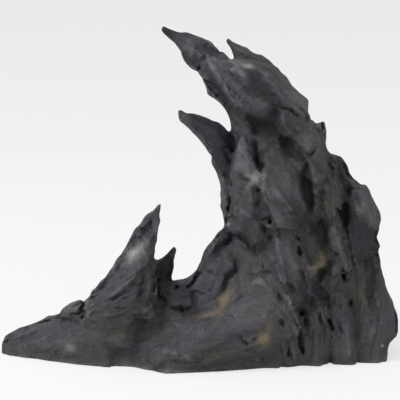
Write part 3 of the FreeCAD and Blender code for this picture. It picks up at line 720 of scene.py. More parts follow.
MARKS: tuple = (
    # Long horn and the neck under it.
    Line(1.8, -1.3, ((-2, 77.5), (0.5, 80.5), (3, 84.5), (4, 88))),
    Line(2.4, 0.9, ((-5.5, 99.5), (-6, 95.5), (-4, 91.5), (-5, 87), (-8, 83))),
    Line(1.8, 0.8, ((-3.5, 91), (-2, 94), (1, 94.5), (6, 93.5))),
    Line(4.0, -1.2, ((-3, 86.5), (-2, 82), (-5, 80.5))),
    Line(4.0, -1.6, ((0, 91.5), (4, 90.5), (8, 88.5), (13, 86.2), (17, 84.8))),
    # Crest slab: its rim, the dark strip left of it, and its dished face.
    Line(1.8, 2.0, (
        (5, 87.3), (4.2, 83.5), (5.5, 80), (9, 76), (12, 72.5), (14.5, 67), (18, 62.5), (24, 53.5))),
    Line(2.5, -0.9, ((7, 84), (7.5, 81), (10, 78.5))),
    Line(4.1, -1.6, ((2.5, 78.5), (6, 74), (9, 70), (12, 65), (15, 60), (18, 55.5), (22, 51.5))),
    Area(1.4, 1.9, (
        (5, 87.6), (9.5, 85.2), (14, 84.4), (20, 83.6), (27, 81.5), (36, 80), (44, 76), (50, 68),
        (57, 62), (63, 52), (58, 51), (52, 56), (47.5, 57), (40, 53.5), (33, 51.5), (27, 51), (23, 55),
        (18, 62), (14, 67.5), (11.5, 72.5), (8.5, 76), (5.5, 79.5), (4.2, 83))),
    Line(3.7, -1.4, ((17, 76), (22, 73), (27, 68), (31, 62))),
    Line(4.8, -1.9, ((28, 79), (33, 74), (39, 67.5), (45, 61), (50, 57))),
    Line(2.2, 0.8, ((21, 78.5), (27, 73.5), (32, 69), (36, 64))),
    Line(1.0, -1.0, ((40, 80.5), (44, 76), (47, 71.5), (49, 67), (52, 63))),
    Line(1.3, -2.3, ((46, 57.5), (51, 56), (55, 53), (59, 50.5), (62, 49.5))),
    Line(1.0, -1.3, ((64.5, 51.5), (66, 48.5), (66.5, 47))),
    # Hollow under the crest.
    Area(-4.8, 4.8, (
        (28, 50.5), (33, 50.2), (37, 49.5), (40, 52), (44, 55), (47.5, 55.5), (48.5, 50), (48, 45),
        (49, 41), (52, 38), (56, 35.5), (58.5, 32), (61, 29), (62.5, 26.5), (64, 24), (63, 19),
        (61.5, 17), (60.5, 21), (57, 25), (53, 28.5), (50, 31), (48, 34.5), (45, 36.5), (41, 37.5),
        (36, 37), (33, 38), (31, 41.5), (29.5, 44.5), (27.5, 48))),
    Line(1.0, 1.0, ((26.5, 47), (28.5, 42.5), (30, 39.5), (32.5, 37))),
    Line(2.2, 0.8, ((19.5, 49), (21, 43), (22, 36), (22.5, 32))),
    # Shoulder slab, the plate that hangs below it, and the fin.
    Area(1.9, 2.2, (
        (49, 55), (52.5, 54), (56, 51.5), (59, 48.5), (61.5, 45), (64, 41.5), (66, 38), (68, 34),
        (68.7, 31), (67.5, 28.5), (65.5, 27), (63.5, 27), (61.5, 29.5), (58.5, 33), (55.5, 36.5),
        (52, 38.8), (49.5, 41), (48.3, 45), (48.5, 50))),
    Line(1.1, -2.0, ((68, 33), (69.3, 29.5), (67, 27), (64, 26))),
    Area(1.8, 1.8, (
        (66.5, 25), (67, 20), (67.3, 14), (69, 9.5), (71.7, 7.2), (74, 9.5), (75.5, 14), (76, 20),
        (76, 27), (72, 29), (69, 28))),
    Line(1.1, 0.8, ((67, 45), (69, 41), (71, 36), (72, 30))),
    Line(1.7, -1.6, ((78, 27), (79, 20), (80, 12))),
    Line(4.8, -1.3, ((82, 27), (86, 16), (87.5, 5), (88.5, -3), (91.5, -9), (94, -12))),
    # Hump at the right.
    Area(1.3, 2.7, (
        (90.5, 12), (94, 11), (99.5, 8.8), (104, 2), (107.5, -6), (108.6, -11), (108, -18), (105, -20),
        (102, -18), (98, -13), (94.5, -9.5), (91, -6.5), (90.2, 0), (90, 6))),
    Line(1.8, -1.1, ((91.5, 4.5), (94, 2.5), (96.5, -1.5))),
    Line(1.1, -0.7, ((93.5, -3.5), (94.5, -4.8))),
    # Deep slit and the hollows below it.
    Area(-4.0, 2.9, (
        (60.8, 14), (61, 8), (61.5, 2), (63, -1.5), (64, -5), (64.8, -8.3), (67, -8), (68.5, -3),
        (68.7, 3), (68, 9), (66.5, 13), (65.5, 18), (64, 22), (62, 20))),
    Line(3.0, -2.3, ((71.5, -8.5), (72, -12), (73, -15), (75.5, -20), (77, -25))),
    Line(2.0, 1.1, ((79.5, 5), (80.5, -3), (82, -10), (83.5, -17), (83, -24))),
    Line(1.3, -1.0, ((84.5, -8), (87.5, -15))),
    Line(1.6, -1.4, ((73, 7), (72.5, 1))),
    Line(6.9, -1.9, ((93, -11), (97, -17), (101, -24), (103, -32))),
    Line(1.8, -2.5, ((102, -30), (106, -31), (110, -32.5))),
    Line(2.5, -3.0, ((82, -32), (78.5, -37), (76, -41), (72.5, -44.5), (69.5, -48), (67.5, -51))),
    Line(3.4, -3.3, ((66.5, -49), (70, -54), (73, -58.5), (75, -61))),
    Line(2.2, -2.6, ((83.5, -40), (86, -43.5), (87, -48), (88, -50.5))),
    Line(2.3, -2.6, ((52, -48), (53.5, -52), (55.5, -57.5))),
    Line(2.1, -2.3, ((47.5, -56.5), (47.5, -61), (49, -64.5))),
    Line(2.1, -2.6, ((60, -66.5), (62.5, -69.5))),
    Line(2.8, -3.0, ((67.5, -59), (67, -64.5), (70, -68))),
    # Teeth low at the right.
    Line(1.5, -3.0, ((63.5, -69.5), (64, -75.5))),
    Line(1.6, -3.1, ((72, -68.5), (72, -76.5))),
    Line(1.7, -3.1, ((76, -70), (78.5, -78.5))),
    Line(2.0, -3.1, ((82, -72.5), (84.5, -78), (86, -82.5))),
    Line(2.0, -3.6, ((60, -75), (60.5, -83), (61, -92))),
    Line(1.6, -3.0, ((50, -72), (51, -77.5))),
    Line(1.7, 1.5, ((67, -70), (68, -79))),
    Line(1.7, 1.5, ((74.3, -70), (75.5, -77))),
    Line(1.7, 1.5, ((79.5, -71), (81.5, -79))),
    Line(1.3, 1.4, ((70, -60.5), (75.5, -66))),
    Line(1.3, 1.4, ((82, -57), (84.5, -64))),
    Line(1.6, -2.2, ((81, -57), (80, -62), (83, -66))),
    Line(1.6, -1.9, ((91, -60), (90, -66))),
    Line(3.9, -1.9, ((104, -38), (103, -50), (102.5, -66))),
    Line(5.3, -1.6, ((95.5, -71), (96, -86))),
    # Pointed slab, thin blade and broad slab.
    Area(1.8, 1.9, (
        (25.7, 39.5), (28.5, 37), (30.5, 33), (32, 28.5), (33, 24), (34.5, 20.5), (33, 16), (31, 12.5),
        (26, 13), (22, 15), (19.8, 16.5), (19.5, 20), (19.3, 26), (21.5, 27.5), (23, 31), (23.3, 36))),
    Line(2.1, -3.0, ((32.3, 36), (33.5, 30), (34.5, 24), (35.2, 19.5))),
    Line(1.1, 1.5, ((36, 34), (36.5, 28), (37, 23), (36.5, 19))),
    Area(1.2, 2.4, (
        (38.5, 32), (42, 32.8), (45.5, 32.5), (48, 30.5), (49.5, 28), (53, 24.5), (57, 20.5),
        (60, 16.5), (61, 12), (60.8, 6), (60.5, 0), (60.2, -4), (58.5, -6.5), (55, -7.5), (52, -6),
        (50, -3), (46, -1), (41, 1), (38, 4), (37.5, 9), (37.8, 15), (38, 22), (38, 28))),
    Line(1.0, -1.4, ((38.5, 29), (42, 29), (43.5, 29.8))),
    Line(1.1, -1.0, ((43.5, 30), (46.5, 28.5), (49.5, 26))),
    Line(1.0, -0.6, ((55.5, 13), (57.5, 7.5))),
    Line(1.0, -0.6, ((57, 0.5), (57.8, -4))),
    Line(1.6, -1.7, ((46, -6.5), (50, -8.3), (55, -8.2), (60, -6))),
    Line(1.8, -1.4, ((49.5, -2), (50.5, -6))),
    Line(1.4, -1.6, ((34.8, 8.6), (35.2, 6.4))),
    Line(2.3, -1.6, ((23, 15), (26, 12.5), (30.5, 11.5))),
    Line(2.5, -2.2, ((34, 1.5), (33.2, -3.5))),
    # Left edge of the neck.
    Line(1.3, 1.1, ((11.8, 15), (14, 9), (15.3, 3), (15.5, -5), (15.5, -10.5))),
    Line(1.5, -2.3, ((17.8, 5), (18.5, 1), (17.8, -4), (16.8, -10.5))),
    Line(1.1, -1.7, ((13.2, 15.5), (14.2, 12))),
    Line(3.4, -1.6, ((16, 15), (17.5, 10), (19, 6.5))),
    Line(1.1, -1.3, ((24.5, -0.5), (23, -4), (23, -9.5))),
    Line(1.0, 1.2, ((19.3, 27.5), (20, 20), (20.5, 15.5))),
    # Lump at the foot of the neck and the dark crease under it.
    Area(1.4, 2.2, (
        (24, -3), (27, -5), (30, -7), (33.5, -9), (35.3, -12), (35.5, -18), (35.3, -24), (33, -27),
        (30, -24.5), (27, -21.5), (23.5, -20), (20, -19.5), (17.5, -17), (16.5, -14.5), (18, -12.5),
        (20.5, -12), (23, -11), (24.5, -8))),
    Line(2.8, -2.7, ((36.5, -11), (40, -11.5), (42.5, -15))),
    Line(2.3, -1.4, ((36.5, -13), (37, -17), (38, -21))),
    Line(1.5, -1.6, ((42, -21.5), (43.8, -24.5))),
    Line(2.1, -2.7, ((19, -19.5), (24, -21.5), (27.5, -25), (31, -29), (34, -28.5))),
    Line(2.9, -2.7, ((20, -20), (16, -26), (11, -31), (6.5, -34.5))),
    Line(1.7, 1.0, ((12, -20), (9, -26), (7.5, -31))),
    Area(1.3, 2.7, (
        (5, -35), (11, -33.5), (17, -31), (20, -33), (21, -38), (18, -42), (14, -44), (10, -45),
        (5, -43), (3, -39))),
    Line(1.1, -1.2, ((8, -43), (9, -45.5))),
    Line(1.1, -0.9, ((9.5, -39), (11.3, -35.8))),
    Line(2.5, -2.3, ((22, -32), (22, -38), (19, -43), (16, -47), (15.5, -54))),
    Line(1.7, 1.1, ((-1, -42), (-5, -46), (-10, -50.5))),
    Line(2.1, -2.2, ((2.5, -41.5), (-3, -48), (-8, -53), (-10.5, -55.5))),
    Line(1.6, -2.3, ((-14.5, -51.5), (-12.3, -53.8))),
    Line(1.4, -1.9, ((-6, -55), (-3.5, -60), (-2.8, -64))),
    Area(0.9, 3.2, (
        (-24, -52), (-20, -50), (-15, -51), (-12, -56), (-8, -59), (-4.5, -60.5), (-3.5, -64.5),
        (-10, -64.5), (-17, -65), (-22, -61), (-24, -57))),
    Line(0.9, -1.4, ((-24.5, -54.5), (-23.5, -58), (-22, -60.5))),
    Line(2.1, -3.0, ((-19, -65), (-12, -65.3), (-8, -66.5), (-3, -66))),
    Line(2.5, -2.3, ((-12, -65.5), (-8, -69), (-1, -69.5))),
    Line(1.1, -1.2, ((9.5, -66), (12, -62), (15.5, -58))),
    # Apron.
    Area(2.1, 3.2, (
        (-23, -92.5), (-20, -88), (-13, -82), (-8, -76.5), (-2, -71.5), (6, -70.5), (13, -68.5),
        (17, -63), (20, -56), (24, -50), (30, -47.5), (38, -46.5), (44, -47), (46.5, -52),
        (45.5, -59), (45, -66), (41, -71), (38, -76), (33, -80), (27, -80), (20, -81.5), (12, -86),
        (6, -91), (0, -95), (-8, -96.5), (-16, -95))),
    Line(1.7, -1.4, ((3, -94), (-5, -96.5), (-12, -96.8))),
    Line(1.0, -0.9, ((-20, -91), (-18, -93.5))),
    Line(1.0, -0.9, ((-13.5, -93), (-11.5, -94.5))),
    Line(1.4, -0.8, ((10.5, -71), (6, -74.5), (3.5, -77.5))),
    Line(1.6, -1.2, ((27, -44), (35, -45.2), (43, -43.5))),
    Line(2.5, -3.2, ((24.5, -81.5), (26.5, -84), (28.5, -87))),
    Line(1.6, -1.6, ((31.5, -83.8), (35, -82.3))),
    # Buttress in the middle.
    Area(1.5, 2.3, (
        (45.5, -19), (48.5, -20), (52, -23), (55, -28), (58, -34), (60, -40), (61, -48), (60.5, -56),
        (62, -66), (58, -66), (55, -58), (53, -50), (50, -44), (47, -38), (45, -30), (44.5, -24))),
    Line(1.1, -1.2, ((46, -33), (44, -40), (47, -47.5))),
    Line(1.8, -2.3, ((58.3, -27), (60, -31), (61.3, -34.5))),
    Line(1.8, -1.6, ((57, -20), (59.3, -24.5))),
    # Tall spire at the left, and the small one beside it.
    Line(1.1, -1.1, ((-34, -14), (-38, -19), (-42, -26), (-45, -31), (-49.5, -37))),
    Area(-0.8, 3.2, (
        (-40, -25), (-36, -19), (-31, -12), (-28, -9.5), (-25.5, -14), (-27, -20), (-31, -23.5),
        (-35, -25))),
    Line(1.7, 0.8, ((-24.5, -3), (-28, -9), (-33, -14), (-37, -20))),
    Line(1.1, -1.0, ((-49, -48.5), (-44, -45.5), (-40, -43))),
    Area(1.6, 2.7, (
        (-70, -61), (-64.5, -54), (-57, -46.5), (-50, -38), (-44, -30), (-36, -30), (-33, -36),
        (-38, -47), (-44, -53), (-52, -59), (-60, -63.5), (-68, -71.5), (-70.5, -66))),
    Line(2.0, -1.4, ((-35, -47), (-43, -53), (-52, -61), (-62, -69))),
    Line(1.8, -1.4, ((-33, -38), (-34.5, -48), (-35.5, -58), (-37, -66))),
    Line(1.7, 0.8, ((-30.5, -42), (-31.5, -54), (-34, -66))),
    Line(1.4, -1.6, ((-27.5, -40), (-28, -52), (-31, -64))),
    Area(-1.0, 2.6, ((-26, -47), (-24, -38), (-17, -33), (-16.5, -44), (-18, -48))),
    # Boulder and toe.
    Line(1.3, -2.3, ((-69.4, -60), (-69.3, -64), (-70.2, -68), (-72.5, -72.5))),
    Line(1.3, -1.9, ((-79, -69), (-74, -67.5), (-69.5, -65))),
    Area(0.8, 1.9, (
        (-85, -68.5), (-80.5, -63), (-77, -61), (-71, -60.5), (-70, -64.5), (-75, -68), (-80, -71),
        (-84, -71))),
    Line(1.8, -1.3, ((-112, -85), (-105, -82.5), (-99, -81), (-93, -77.5))),
    Line(2.2, 0.8, ((-108, -88), (-98, -85), (-92, -82), (-86, -77), (-80, -73))),
    Line(1.1, -1.2, ((-91.5, -84.3), (-87.5, -85.7))),
    Line(2.9, -0.8, ((-105, -96), (-95, -93), (-87, -90.5))),
    Line(1.1, 0.8, ((-93.5, -89.5), (-84.5, -83.5))),
    Line(2.1, -1.3, ((-71.5, -74), (-67, -77), (-62.5, -79.8))),
    Line(2.3, -0.9, ((-59, -83), (-50, -80), (-41, -77), (-36, -71.5))),
    Line(1.4, -1.2, ((-40.5, -72.8), (-37, -71.2))),
)

STAINS: tuple = (
    Patch(73.5, -35, 2.5, 4.5, 0.8, -10),
    Patch(71.5, -39.5, 4, 2.5, 0.75, 15),
    Patch(15, -60, 2.8, 6.5, 1.0, -30),
    Patch(6, -68.5, 8, 1.6, 0.55, 8),
    Patch(37.5, -84.5, 4, 3.5, 0.8),
    Patch(40.5, -78, 3, 5, 0.5, -20),
    Patch(97, -57, 2.5, 5, 0.35),
    Patch(80.5, -2, 1.5, 9, 0.25, 8),
    Patch(84, 1, 2, 4, 0.25),
    Patch(76, 8, 1.5, 3, 0.35),
    Patch(24, 82.5, 5, 1.6, 0.45, -10),
    Patch(38, 24, 3, 8, 0.25),
    Patch(55, 22, 6, 2, 0.2, -40),
    Patch(37, -18, 2, 5, 0.3),
)

# Whitish marks: painted highlights and glints where light catches the rock, partly whitish chalky paint.
GLINTS_AND_CHALK: tuple = (
    Patch(33.8, 13.5, 3.3, 3.6, 1.15),
    Patch(37.5, 8, 1.6, 5, 0.25),
    Patch(29, 80.3, 3.2, 1.2, 0.5, -8),
    Patch(-39, -31.5, 6.5, 3.4, 0.6, 42),
    Patch(-78, -88.5, 4, 2.2, 0.3, -30),
    Patch(109.5, -87.4, 0.6, 0.6, 0.9),
    Patch(16.5, -14.5, 1.2, 1.2, 0.4),
)

MELTED: tuple = (
    Patch(57, -14, 24, 6, 1.3, 8),
    Patch(-55, -84, 16, 9, 1.2, 15),
    Patch(-28, -92, 9, 8, 1.2),
    Patch(103, -70, 9, 26, 1.2, 5),
    Patch(90, -40, 10, 12, 0.8),
    Patch(-100, -88, 14, 8, 1.0, 15),
    Patch(5, -85, 22, 7, 0.8, 25),
    Patch(35, -45, 14, 8, 1.0),
    Patch(48, -93, 12, 6, 1.0),
)

SMOOTHED: tuple = (
    Patch(-95, -84, 26, 10, 0.75, 12),
    Patch(-60, -82, 30, 14, 0.55),
    Patch(-20, -92, 30, 10, 0.5),
    Patch(30, -60, 18, 16, 0.5),
    Patch(110, -58, 9, 38, 0.7),
    Patch(52, 72, 22, 7, 0.4, -48),
    Patch(40, 45, 10, 8, 0.5),
)

TONES_AND_SHADING: tuple = (
    # Paler places: partly paler paint, partly painted light where the lamp falls on the rock.
    Patch(-97, -76, 16, 3, 0.3, 18),
    Patch(-92, -88, 12, 4, 0.1, 15),
    Patch(-76, -64, 7, 3.5, 0.5, 10),
    Patch(-5, -85, 26, 6, 0.1, 30),
    Patch(22, 78, 8, 4, 0.2, -20),
    Patch(50, 72, 20, 4, 0.3, -50),
    Patch(60, 58, 6, 10, 0.6, 30),
    Patch(65, 34, 5, 5, 0.3, -50),
    Patch(99, 2, 6, 9, 0.2),
    Patch(103, -12, 4, 6, 0.25),
    Patch(13.5, 2, 2, 12, 0.35),
    Patch(72, -90, 18, 5, 0.25),
    Patch(-1, 39, 12, 2, 0.5, -47),
    Patch(-8, 88, 4, 6, 0.2, 40),
    Patch(-5, 93, 3, 4, 0.3),
    # Darker places: partly darker paint, partly painted shade where the lamp's light doesn't reach.
    Patch(-30, -90, 16, 6, -0.25),
    Patch(-13, -58, 9, 5, -0.8),
    Patch(82, -4, 6, 12, -0.3),
    Patch(100, -28, 8, 10, -1.1),
    Patch(104, -31, 4, 6, -0.8),
    Patch(70, -55, 5, 7, -0.7),
    Patch(28, -15, 5, 4, -0.4),
    Patch(-8, -66, 6, 2.5, -0.7),
    Patch(5, 43, 9, 5, -1.1, -35),
    Patch(52, 46, 4, 7, -0.4),
    Patch(3, 91, 8, 4, -0.4, -25),
    Patch(-19, 101, 7, 4, -0.9, -30),
    Patch(57, 45, 5, 7, -0.3),
    Patch(71, 17, 5, 10, -0.35),
    Patch(46, 24, 8, 8, -0.4),
    Patch(55, -3, 6, 6, -0.5),
    Patch(28, -16, 9, 8, -0.35),
    Patch(60, -15, 8, 8, -0.6),
    Patch(92, -60, 12, 15, -0.35),
    Patch(76, -75, 10, 8, -0.2),
    Patch(17, 10, 4, 6, -0.3),
    Patch(-7, -66, 8, 3.5, -0.6),
    Patch(-50, -71, 16, 9, -0.25, 30),
    Patch(-29, -15, 4, 7, -0.3, -30),
    Patch(-105, -84, 10, 2.5, -0.35, 15),
)

SHADE_AND_LIGHT_WASHES: tuple = (
    # Hollow and groove under the crest, and the deep slit: painted shade in these recesses.
    ShadeAndLightWash(-0.75, 2.5, (
        (28, 50.5), (33, 50.2), (40, 52), (44, 55), (47.5, 55.5), (48.5, 50), (49, 41), (56, 35.5),
        (61, 29), (64, 24), (61.5, 17), (57, 23), (50, 30), (45, 36.5), (36, 37), (31, 41.5), (27.5, 48))),
    ShadeAndLightWash(-1.0, 1.6, (
        (60.8, 14), (61, 8), (61.5, 2), (64, -5), (64.8, -8.3), (67, -8), (68.5, -3), (68.7, 3),
        (66.5, 13), (64, 22), (62, 20))),
    # Middle horn: painted shade on its side turned away from the lamp.
    ShadeAndLightWash(-0.85, 2.0, (
        (-4, 50.5), (3, 50), (9, 48), (14, 43), (18, 38), (9, 34), (5, 35), (-1, 41), (-4, 46))),
    ShadeAndLightWash(-0.9, 2.0, (
        (4, 40), (10, 42), (17, 42), (20.5, 35), (21, 28), (20, 21), (17, 14), (12, 15), (9.5, 22),
        (8, 29), (5, 35))),
    # Crest: painted shade in the strip at its left, and in two streaks down its face.
    ShadeAndLightWash(-0.6, 1.8, (
        (1, 77), (5, 74), (9, 69), (13, 62), (17, 55), (22, 51), (25, 51), (22, 56), (17, 62),
        (13, 69), (9, 74), (4, 80))),
    ShadeAndLightWash(-0.8, 2.0, (
        (27, 79), (32, 78), (37, 73), (43, 67), (48, 61), (51, 56), (44, 57), (37, 59), (31, 63),
        (27, 68), (28, 73))),
    ShadeAndLightWash(-0.55, 1.6, ((17, 77), (24, 74), (28, 68), (32, 62), (27, 63), (22, 69))),
    # Right of the fin, down to the dark flank: painted shade on the side turned away from the lamp, partly
    # darker paint.
    ShadeAndLightWash(-0.75, 3.0, (
        (79, 26), (85, 24), (89, 16), (90, 6), (91, -4), (95, -10), (101, -17), (105.5, -21),
        (107, -34), (104, -41), (97, -36), (90, -28), (86, -18), (86, -6), (85, 6), (81, 14))),
    ShadeAndLightWash(-0.7, 3.0, (
        (67, -6), (73, 4), (76, -8), (79, -20), (79, -32), (74, -30), (67, -20), (62, -12))),
    ShadeAndLightWash(-0.45, 3.0, ((101, -30), (107, -36), (106, -56), (105, -74), (101, -72), (99, -52))),
    ShadeAndLightWash(-0.9, 2.0, (
        (66, -48), (71, -44), (77, -38), (81, -34), (82, -37), (77, -45), (72, -50), (75, -57),
        (79, -64), (74, -65), (70, -61), (69, -68), (62, -70), (58, -66), (64, -58))),
    # Under the left arm of the wave: painted shade under it.
    ShadeAndLightWash(-0.7, 2.0, ((22, -20), (19, -27), (10, -35), (1, -41), (4, -33), (9, -26), (14, -19))),
    ShadeAndLightWash(-0.5, 2.0, ((20, -31), (24, -36), (22, -44), (18, -50), (14, -56), (13, -49), (18, -42))),
    ShadeAndLightWash(-0.5, 1.6, ((23, -20), (27, -21), (33, -26), (34, -30), (29, -30), (24, -25))),
    ShadeAndLightWash(-0.9, 2.0, ((-19, -50), (-10, -50), (-3, -55), (-2, -64), (-7, -60), (-14, -58), (-20, -56))),
    ShadeAndLightWash(-0.25, 1.6, (
        (-36, -50), (-31, -64), (-36, -76), (-60, -80), (-70, -74), (-62, -68), (-50, -60), (-42, -54))),
    # Small spire, and the right face of the tall one: painted shade on the faces turned from the lamp.
    ShadeAndLightWash(-0.8, 1.6, ((-27, -46), (-24, -37), (-17, -30), (-15, -36), (-17, -47), (-22, -50))),
    ShadeAndLightWash(-0.6, 3.0, ((-31, -38), (-28, -36), (-26, -50), (-29, -66), (-38, -66), (-37, -50))),
    # Between the pointed slab and the broad one: a painted shadow.
    ShadeAndLightWash(-0.6, 1.4, ((30.5, 37), (34, 34), (36, 28), (35.5, 19), (33.5, 20), (32.5, 28))),
    # Pale: the pointed slab, the crest's rim, the spire's upper face, the buttress and the apron, with
    # painted light where the lamp falls on them, partly paler paint.
    ShadeAndLightWash(0.35, 1.6, (
        (25.7, 38), (28.5, 35), (32, 28.5), (33, 22), (33, 16), (26, 15), (20.5, 17), (20.5, 26),
        (23, 30))),
    ShadeAndLightWash(0.65, 1.2, (
        (4, 87), (7, 84), (12, 76), (18, 67), (25, 56), (21, 56), (15, 65), (10, 73), (5, 80))),
    ShadeAndLightWash(0.1, 2.0, (
        (-70, -61), (-62, -52), (-52, -40), (-43, -26), (-36, -28), (-34, -36), (-42, -47), (-52, -57),
        (-64, -65))),
    ShadeAndLightWash(0.45, 2.5, ((45.5, -19), (50, -20), (55, -28), (59, -38), (60, -48), (55, -46), (48, -34))),
    ShadeAndLightWash(0.2, 4.0, (
        (24, -50), (32, -47), (44, -48), (45, -60), (42, -70), (34, -78), (24, -78), (14, -72),
        (20, -60))),
)

HUES: tuple = (
    # Violet places.
    Patch(12, 33, 9, 12, 1.2, 20),
    Patch(4, 45, 10, 5, 0.8, -30),
    Patch(0, 92, 18, 6, 0.8, -25),
    Patch(10, 70, 5, 16, 0.8, 35),
    Patch(24, 76, 10, 5, 0.5, -40),
    Patch(27, 26, 7, 14, 0.6),
    Patch(9, -40, 10, 9, 1.0, 40),
    Patch(5, -56, 8, 8, 0.5),
    Patch(-29, -15, 6, 10, 0.9, -30),
    Patch(-47, -45, 26, 6, 0.6, 50),
    Patch(-62, -58, 10, 6, 0.5, 45),
    Patch(-100, -82, 18, 5, 0.6, 15),
    Patch(-5, -82, 26, 7, 0.35, 30),
    # Olive places.
    Patch(38, 45, 12, 9, -0.4),
    Patch(48, 22, 9, 12, -0.4),
    Patch(78, 0, 6, 16, -0.9),
    Patch(70, -28, 12, 14, -0.9),
    Patch(30, -38, 12, 8, -0.6),
    Patch(-50, -72, 18, 10, -0.9, 25),
    Patch(-20, -80, 14, 6, -0.5),
    Patch(0, -96, 50, 5, -0.9),
    Patch(70, -92, 30, 5, -0.7),
    Patch(95, -58, 8, 10, -0.6),
    Patch(74, -82, 8, 6, -0.6),
)


# ---- Wearing the rock ----
@dataclass(frozen=True)
class Ramp:
    """A fade: 0 below low, a share above high, and eased between them."""

    low: float
    high: float
    share: float = 1.0

    def at(self, values: np.ndarray) -> np.ndarray:
        """The fade at values."""
        return smooth_step(self.low, self.high, values) * self.share


@dataclass(frozen=True)
class Pattern:
    """One size of a random pattern.

    Attributes:
        seed: Start of its random draws.
        size: Size of its lumps or chips, in millimetres.
        strength: What its values are multiplied by.
        level: The value that counts as 0.
    """

    seed: int
    size: float
    strength: float = 1.0
    level: float = 0.0

    def lumps(self, places: np.ndarray) -> np.ndarray:
        """Smooth lumps at places."""
        return self.strength * (Grain(self.seed).at(places / self.size) - self.level)

    def crests(self, places: np.ndarray) -> np.ndarray:
        """Lumps with sharp crests at places."""
        return self.strength * (Grain(self.seed).crests(places / self.size) - self.level)

    def chips(self, places: np.ndarray) -> np.ndarray:
        """Slanted flat faces at places."""
        height, _ = Chips(self.seed).at(places / self.size)
        return self.strength * (height - self.level)


@dataclass(frozen=True)
class GrainFlow:
    """The way that the rock's grain runs.

    It runs round a centre low at the left, so it is upright at the right and bends over to the left at
    the top: along it is the angle round the centre times a radius, and across it is the distance from
    the centre. Low at the left it turns nearly level.
    """

    centre: tuple[float, float] = (-85.0, 30.0)
    radius: float = 90.0
    level: float = 18.0
    level_shift: tuple[float, float] = (-30.0, 80.0)
    heights: Ramp = Ramp(20.0, 75.0)
    widths: Ramp = Ramp(20.0, 80.0)
    left_rise: float = 0.25

    def at(self, places: np.ndarray) -> np.ndarray:
        """Places measured along, across and through the grain, as (n, 3)."""
        x, z = places[:, 0], places[:, 2]
        aside = places[:, [0, 2]] - np.array(self.centre)
        radius = np.linalg.norm(aside, axis=1)
        round_centre = self.radius * np.arctan2(aside[:, 1], aside[:, 0])
        slope = math.radians(self.level)
        along = x * math.cos(slope) + z * math.sin(slope) + self.level_shift[0]
        across = z * math.cos(slope) - x * math.sin(slope) + self.level_shift[1]
        low = 1 - self.heights.at(z + self.left_rise * np.maximum(-x, 0))
        share = low * (1 - self.widths.at(x))
        along = share * along + (1 - share) * round_centre
        across = share * across + (1 - share) * radius
        return np.stack([along, across, places[:, 1]], axis=1)


@dataclass(frozen=True)
class Streaks:
    """Relief drawn out along the grain: ridges of three sizes, and flat chips."""

    flow: GrainFlow = GrainFlow()
    bend: Pattern = Pattern(40, 18.0, 7.0)
    bend_way: tuple[float, float, float] = (0.0, 1.0, 0.6)
    stretch: tuple[float, float, float] = (0.35, 1.0, 0.8)
    broad: Pattern = Pattern(50, 14.0, 1.4, 0.55)
    middle: Pattern = Pattern(60, 5.5, 0.8, 0.5)
    fine: Pattern = Pattern(70, 2.0, 0.8, 0.5)
    chips: Pattern = Pattern(80, 6.5, 1.9)
    inward: float = 0.35

    def at(self, places: np.ndarray) -> np.ndarray:
        """How far the grain pushes the skin inwards at places, in millimetres."""
        local = self.flow.at(places)
        bend = self.bend.lumps(local)
        bent = (local + bend[:, None] * np.array(self.bend_way)) * np.array(self.stretch)
        ridges = self.broad.crests(bent) + self.middle.crests(bent) + self.fine.lumps(bent)
        return ridges + self.chips.chips(bent) + self.inward


